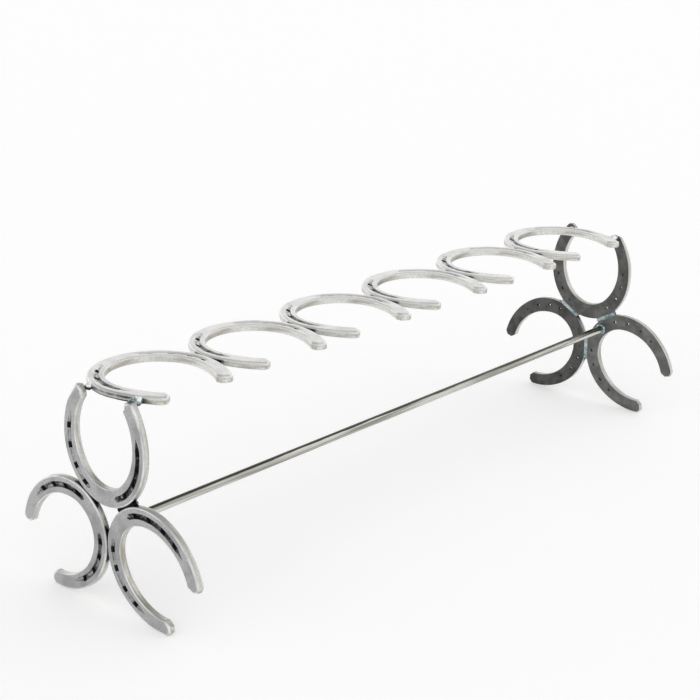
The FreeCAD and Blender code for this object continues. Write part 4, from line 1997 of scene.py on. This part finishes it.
@dataclass
class Stand:
    """One end of the rack: three smaller shoes on edge, with their beads and the rod's fillet."""

    finishes: Finishes
    side: Side
    bead_radius: float = 3.7
    # Also sets where the heel beads' painted highlight and painted shade lie.
    heel_crown: Triple = (0.0, -0.35, 0.94)
    rod_radius: float = 4.75
    fillet_leg: float = 3.0
    seed_step: float = 3.0

    @property
    def mirrored(self) -> bool:
        """Tell whether this is the right stand, which mirrors the left one."""
        return self.side is Side.RIGHT

    @property
    def inward(self) -> Vector:
        """Return the direction towards the middle of the rack."""
        return -ACROSS if self.mirrored else ACROSS

    @property
    def mirror(self) -> Matrix:
        """Return the turn from the left stand to this one."""
        return Matrix.Scale(self.inward.x, 4, ACROSS)

    def node(self, rest: str) -> str:
        """Return the name of one of the stand's nodes."""
        return f"{self.side.value}_{rest}"

    def box(self, rest: str) -> Box:
        """Return the box of one of the stand's nodes."""
        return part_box(self.node(rest))

    def seam_run(self, seam: Seam) -> Run:
        """Return a seam bead's axis.

        Args:
            seam: The seam.

        Returns:
            The axis.
        """
        low, high = self.box(f"seam_weld_{seam.label}")
        centre = middle((low, high))
        rise = math.radians(seam.angle)
        direction = Vector((0.0, math.cos(rise), math.sin(rise)))
        half = ((high - low).y * abs(direction.y) + (high - low).z * abs(direction.z)) / 2.0
        half -= self.bead_radius * MM * abs(direction.y * direction.z)
        centre.x = (low if self.mirrored else high).x - self.inward.x * self.bead_radius * MM
        return Run(centre - direction * half, centre + direction * half)

    def heel_run(self, place: str) -> Run:
        """Return a heel bead's axis, from the stand's tip to the row.

        Args:
            place: Which of the stand's heel tips it is on.

        Returns:
            The axis.
        """
        low, high = self.box(f"heel_weld_{place}")
        centre = middle((low, high))
        ends = [Vector((corner.x, centre.y, centre.z)) for corner in (low, high)]
        return Run(*(reversed(ends) if self.mirrored else ends))

    def marks(self) -> list[HeatMark]:
        """Return the marks of the stand's welds.

        Returns:
            The marks.
        """
        to_middle = -self.inward * STAND_FORM.thickness * MM / 2.0
        marks = [HeatMark(self.seam_run(seam).moved(to_middle), SEAM_SCORCH) for seam in Seam]
        marks += [HeatMark(self.heel_run(bead.place), bead.scorch) for bead in HEEL_BEADS]
        rod = middle(self.box("rod_weld"))
        return [*marks, HeatMark(Run(rod, rod), ROD_SCORCH)]

    def scorched_row(self) -> ScorchedWall:
        """Return the wall of the row's end shoe that the heel welds' smoke lined."""
        return ScorchedWall(Run(self.heel_run("rear").end, self.heel_run("front").end))

    def scorched_rear(self) -> ScorchedWall:
        """Return the wall of the rear shoe that the seams' smoke browned."""
        ends = [middle(self.box(f"seam_weld_{seam.label}")) for seam in (Seam.TOP_REAR, Seam.REAR_FRONT)]
        return ScorchedWall(Run(*ends), lines=((6.6, 3.9, 1.0),), shares=(1.0, 0.55, 1.0), ground=0.0)

    def turn(self, place: Place) -> Matrix:
        """Return a shoe's turn from flat on its back to its place in the stand.

        Args:
            place: The shoe's place.

        Returns:
            The turn.
        """
        upright = Matrix.Rotation(math.radians(-90.0), 4, "Y")
        turned = Matrix.Rotation(math.radians(place.angle), 4, "X") @ upright
        return self.mirror @ turned if self.mirrored else turned

    def build(self, marks: list[HeatMark]) -> None:
        """Make the stand.

        Args:
            marks: The marks of all the welds.
        """
        finishes, first_seed = self.finishes, 20.0 if self.mirrored else 10.0
        # The front shoe's foot face gets the lit copy and the rear's the shaded copy: painted light and shade.
        feet = {Place.TOP: finishes.foot, Place.REAR: finishes.foot_dark, Place.FRONT: finishes.foot_pale}
        for number, place in enumerate(Place, start=1):
            ShoePlace(
                self.node(f"stand_{place.label}_shoe"), self.turn(place), number * self.seed_step + first_seed,
                [finishes.stand_steel, finishes.punched, feet[place]],
                [self.scorched_rear()] if place is Place.REAR else [],
            ).fill(replace(STAND_SHOES[place], drawn_back=DRAWN_BACK.get((self.side, place), (0.0, 0.0))), marks)
        self.lay_beads()

    def lay_beads(self) -> None:
        """Make the stand's beads and the fillet round the rod."""
        weld = self.finishes.weld
        for seam in Seam:
            run = self.seam_run(seam)
            bead = LaidBead(self.bead_radius, run.whole.length / MM)
            bead.lay(self.node(f"seam_weld_{seam.label}"), run, self.inward, weld)
        for kind in HEEL_BEADS:
            run = self.heel_run(kind.place)
            kind.bead(run).lay(self.node(f"heel_weld_{kind.place}"), run, Vector(self.heel_crown), weld)
        node = self.node("rod_weld")
        shape = RodFillet(self.rod_radius, self.fillet_leg).solid()
        seat(shape, self.mirror, node)
        put(shape, self.node("rod_fillet"), node, [weld])


@dataclass
class HeelRod:
    """The drawn bar along the front that the boots' heels hook on."""

    finishes: Finishes
    sides: int = 48
    spans: int = 90
    node: str = "heel_rod"

    def build(self, marks: list[HeatMark]) -> None:
        """Make the rod.

        Args:
            marks: The marks of the welds at its ends.
        """
        low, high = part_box(self.node)
        centre, radius = middle((low, high)), (high.z - low.z) / 2.0
        shape = bmesh.new()
        turn = Matrix.Rotation(math.radians(90.0), 4, "Y")
        edges = capped_ring(shape, self.sides, radius, Matrix.Translation((low.x, centre.y, centre.z)) @ turn)
        for _ in range(self.spans):
            verts, edges = extruded(shape, edges)
            bmesh.ops.translate(shape, vec=(high.x - low.x) / self.spans * ACROSS, verts=verts)
        close_end(shape, edges)
        mark_heat(shape, marks, [])
        # The height round the rod, for the painted reflection along its top.
        top = shape.verts.layers.float.new("top")
        for vert in shape.verts:
            vert[top] = (vert.co.z - centre.z) / radius
        put(shape, "drawn_heel_rod", self.node, [self.finishes.bar])


# ------------------------------------------------------------------------------------------------- studio


@dataclass
class Studio:
    """The pale floor, the soft light round it and the camera."""

    floor_half: float = 14.0
    floor_colour: Colour = (0.9, 0.9, 0.9)
    floor_roughness: float = 0.9
    floor_lift: float = 0.27
    horizon: float = 1.1
    horizon_band: Span = (0.57, 0.76)
    overhead: float = 0.46
    zenith: float = 0.75
    zenith_band: Span = (0.82, 0.97)
    front_rise: float = 0.25
    front_dim: float = 0.84
    front_band: Span = (-0.5, 0.0)
    front_height: Span = (0.0, 0.12)
    lamp_strength: float = 0.15
    lamp_spread: float = 90.0
    lamp_azimuth: float = 10.0
    lamp_height: float = 58.0
    camera_azimuth: float = -48.2826
    camera_height: float = 18.7784
    camera_roll: float = 0.3229
    camera_distance: float = 2.09419
    camera_target: Triple = (0.03390, 0.08413, 0.14597)
    focal_length: float = 88.42
    sensor_width: float = 36.0
    far_limit: float = 100.0

    def build(self) -> None:
        """Make the floor, the light and the camera."""
        self.lay_floor()
        self.light_world()
        self.hang_lamp()
        self.set_camera()
        bpy.context.scene.view_settings.view_transform = "Standard"

    def lay_floor(self) -> None:
        """Lay the floor, which looks white to the camera and in reflections and keeps its shadows."""
        shape = bmesh.new()
        bmesh.ops.create_grid(shape, x_segments=1, y_segments=1, size=self.floor_half)
        floor = placed("floor", to_mesh("floor", shape))
        made = bpy.data.materials.new("studio_floor")
        nodes = Nodes(made)
        shader = nodes.add(
            "ShaderNodeBsdfPrincipled", Base_Color=(*self.floor_colour, 1.0), Roughness=self.floor_roughness,
            Emission_Color=WHITE,
        )
        rays = nodes.add("ShaderNodeLightPath").outputs
        seen = nodes.most(*(rays[f"Is {kind} Ray"] for kind in ("Camera", "Glossy", "Transmission")))
        nodes.link(nodes.times(seen, self.floor_lift), shader.inputs["Emission Strength"])
        nodes.put_out(shader.outputs["BSDF"], "ShaderNodeOutputMaterial")
        floor.data.materials.append(made)

    def light_world(self) -> None:
        """Surround the rack with a white band, dimmer overhead and a little dimmer and higher at the front."""
        world = bpy.data.worlds.new("studio_world")
        bpy.context.scene.world = world
        nodes = Nodes(world)
        _, depth, height = nodes.parts(nodes.add("ShaderNodeTexCoord").outputs["Generated"])
        raised = nodes.plus(height, nodes.times(depth, self.front_rise))
        light = nodes.spread(raised, self.horizon_band, (self.horizon, self.overhead))
        dim = nodes.most(
            nodes.spread(depth, self.front_band, (self.front_dim, 1.0)),
            nodes.spread(height, self.front_height, (1.0, self.front_dim)),
        )
        top = nodes.spread(height, self.zenith_band, (0.0, self.zenith - self.overhead))
        background = nodes.add("ShaderNodeBackground", Color=WHITE)
        nodes.link(nodes.plus(nodes.times(light, dim), top), background.inputs["Strength"])
        nodes.put_out(background.outputs["Background"], "ShaderNodeOutputWorld")

    def hang_lamp(self) -> None:
        """Hang the one broad lamp."""
        lamp = bpy.data.lights.new("broad_lamp", "SUN")
        lamp.energy = self.lamp_strength
        lamp.angle = math.radians(self.lamp_spread)
        holder = placed("broad_lamp", lamp)
        holder.rotation_mode = "QUATERNION"
        holder.rotation_quaternion = self.towards(self.lamp_azimuth, self.lamp_height).to_track_quat("Z", "Y")

    def towards(self, azimuth: float, height: float) -> Vector:
        """Return the direction of a place round the rack, from an azimuth of 0 at the front."""
        turn, rise = math.radians(azimuth), math.radians(height)
        return Vector((math.sin(turn) * math.cos(rise), -math.cos(turn) * math.cos(rise), math.sin(rise)))

    def set_camera(self) -> None:
        """Set the camera up where the rack is looked at from."""
        back = self.towards(self.camera_azimuth, self.camera_height)
        right = (-back).cross(UP).normalized()
        up = right.cross(-back)
        roll = math.radians(self.camera_roll)
        rolled_right = right * math.cos(roll) + up * math.sin(roll)
        rolled_up = up * math.cos(roll) - right * math.sin(roll)
        data = bpy.data.cameras.new("camera")
        data.sensor_fit = "HORIZONTAL"
        data.sensor_width = self.sensor_width
        data.lens = self.focal_length
        data.clip_end = self.far_limit
        camera = placed("camera", data)
        turn = Matrix((rolled_right, rolled_up, back)).transposed().to_4x4()
        place = Vector(self.camera_target) + back * self.camera_distance
        camera.matrix_world = Matrix.Translation(place) @ turn
        bpy.context.scene.camera = camera


def main() -> None:
    """Build the rack and its studio."""
    logging.basicConfig(level=logging.INFO, format="%(name)s: %(message)s")
    finishes = Finishes()
    stands = [Stand(finishes, side) for side in Side]
    marks = [mark for stand in stands for mark in stand.marks()]
    row = CradleRow(finishes)
    marks += row.marks()
    row.build(marks, [stand.scorched_row() for stand in stands])
    for stand in stands:
        stand.build(marks)
    HeelRod(finishes).build(marks)
    Studio().build()


if __name__ == "__main__":
    main()
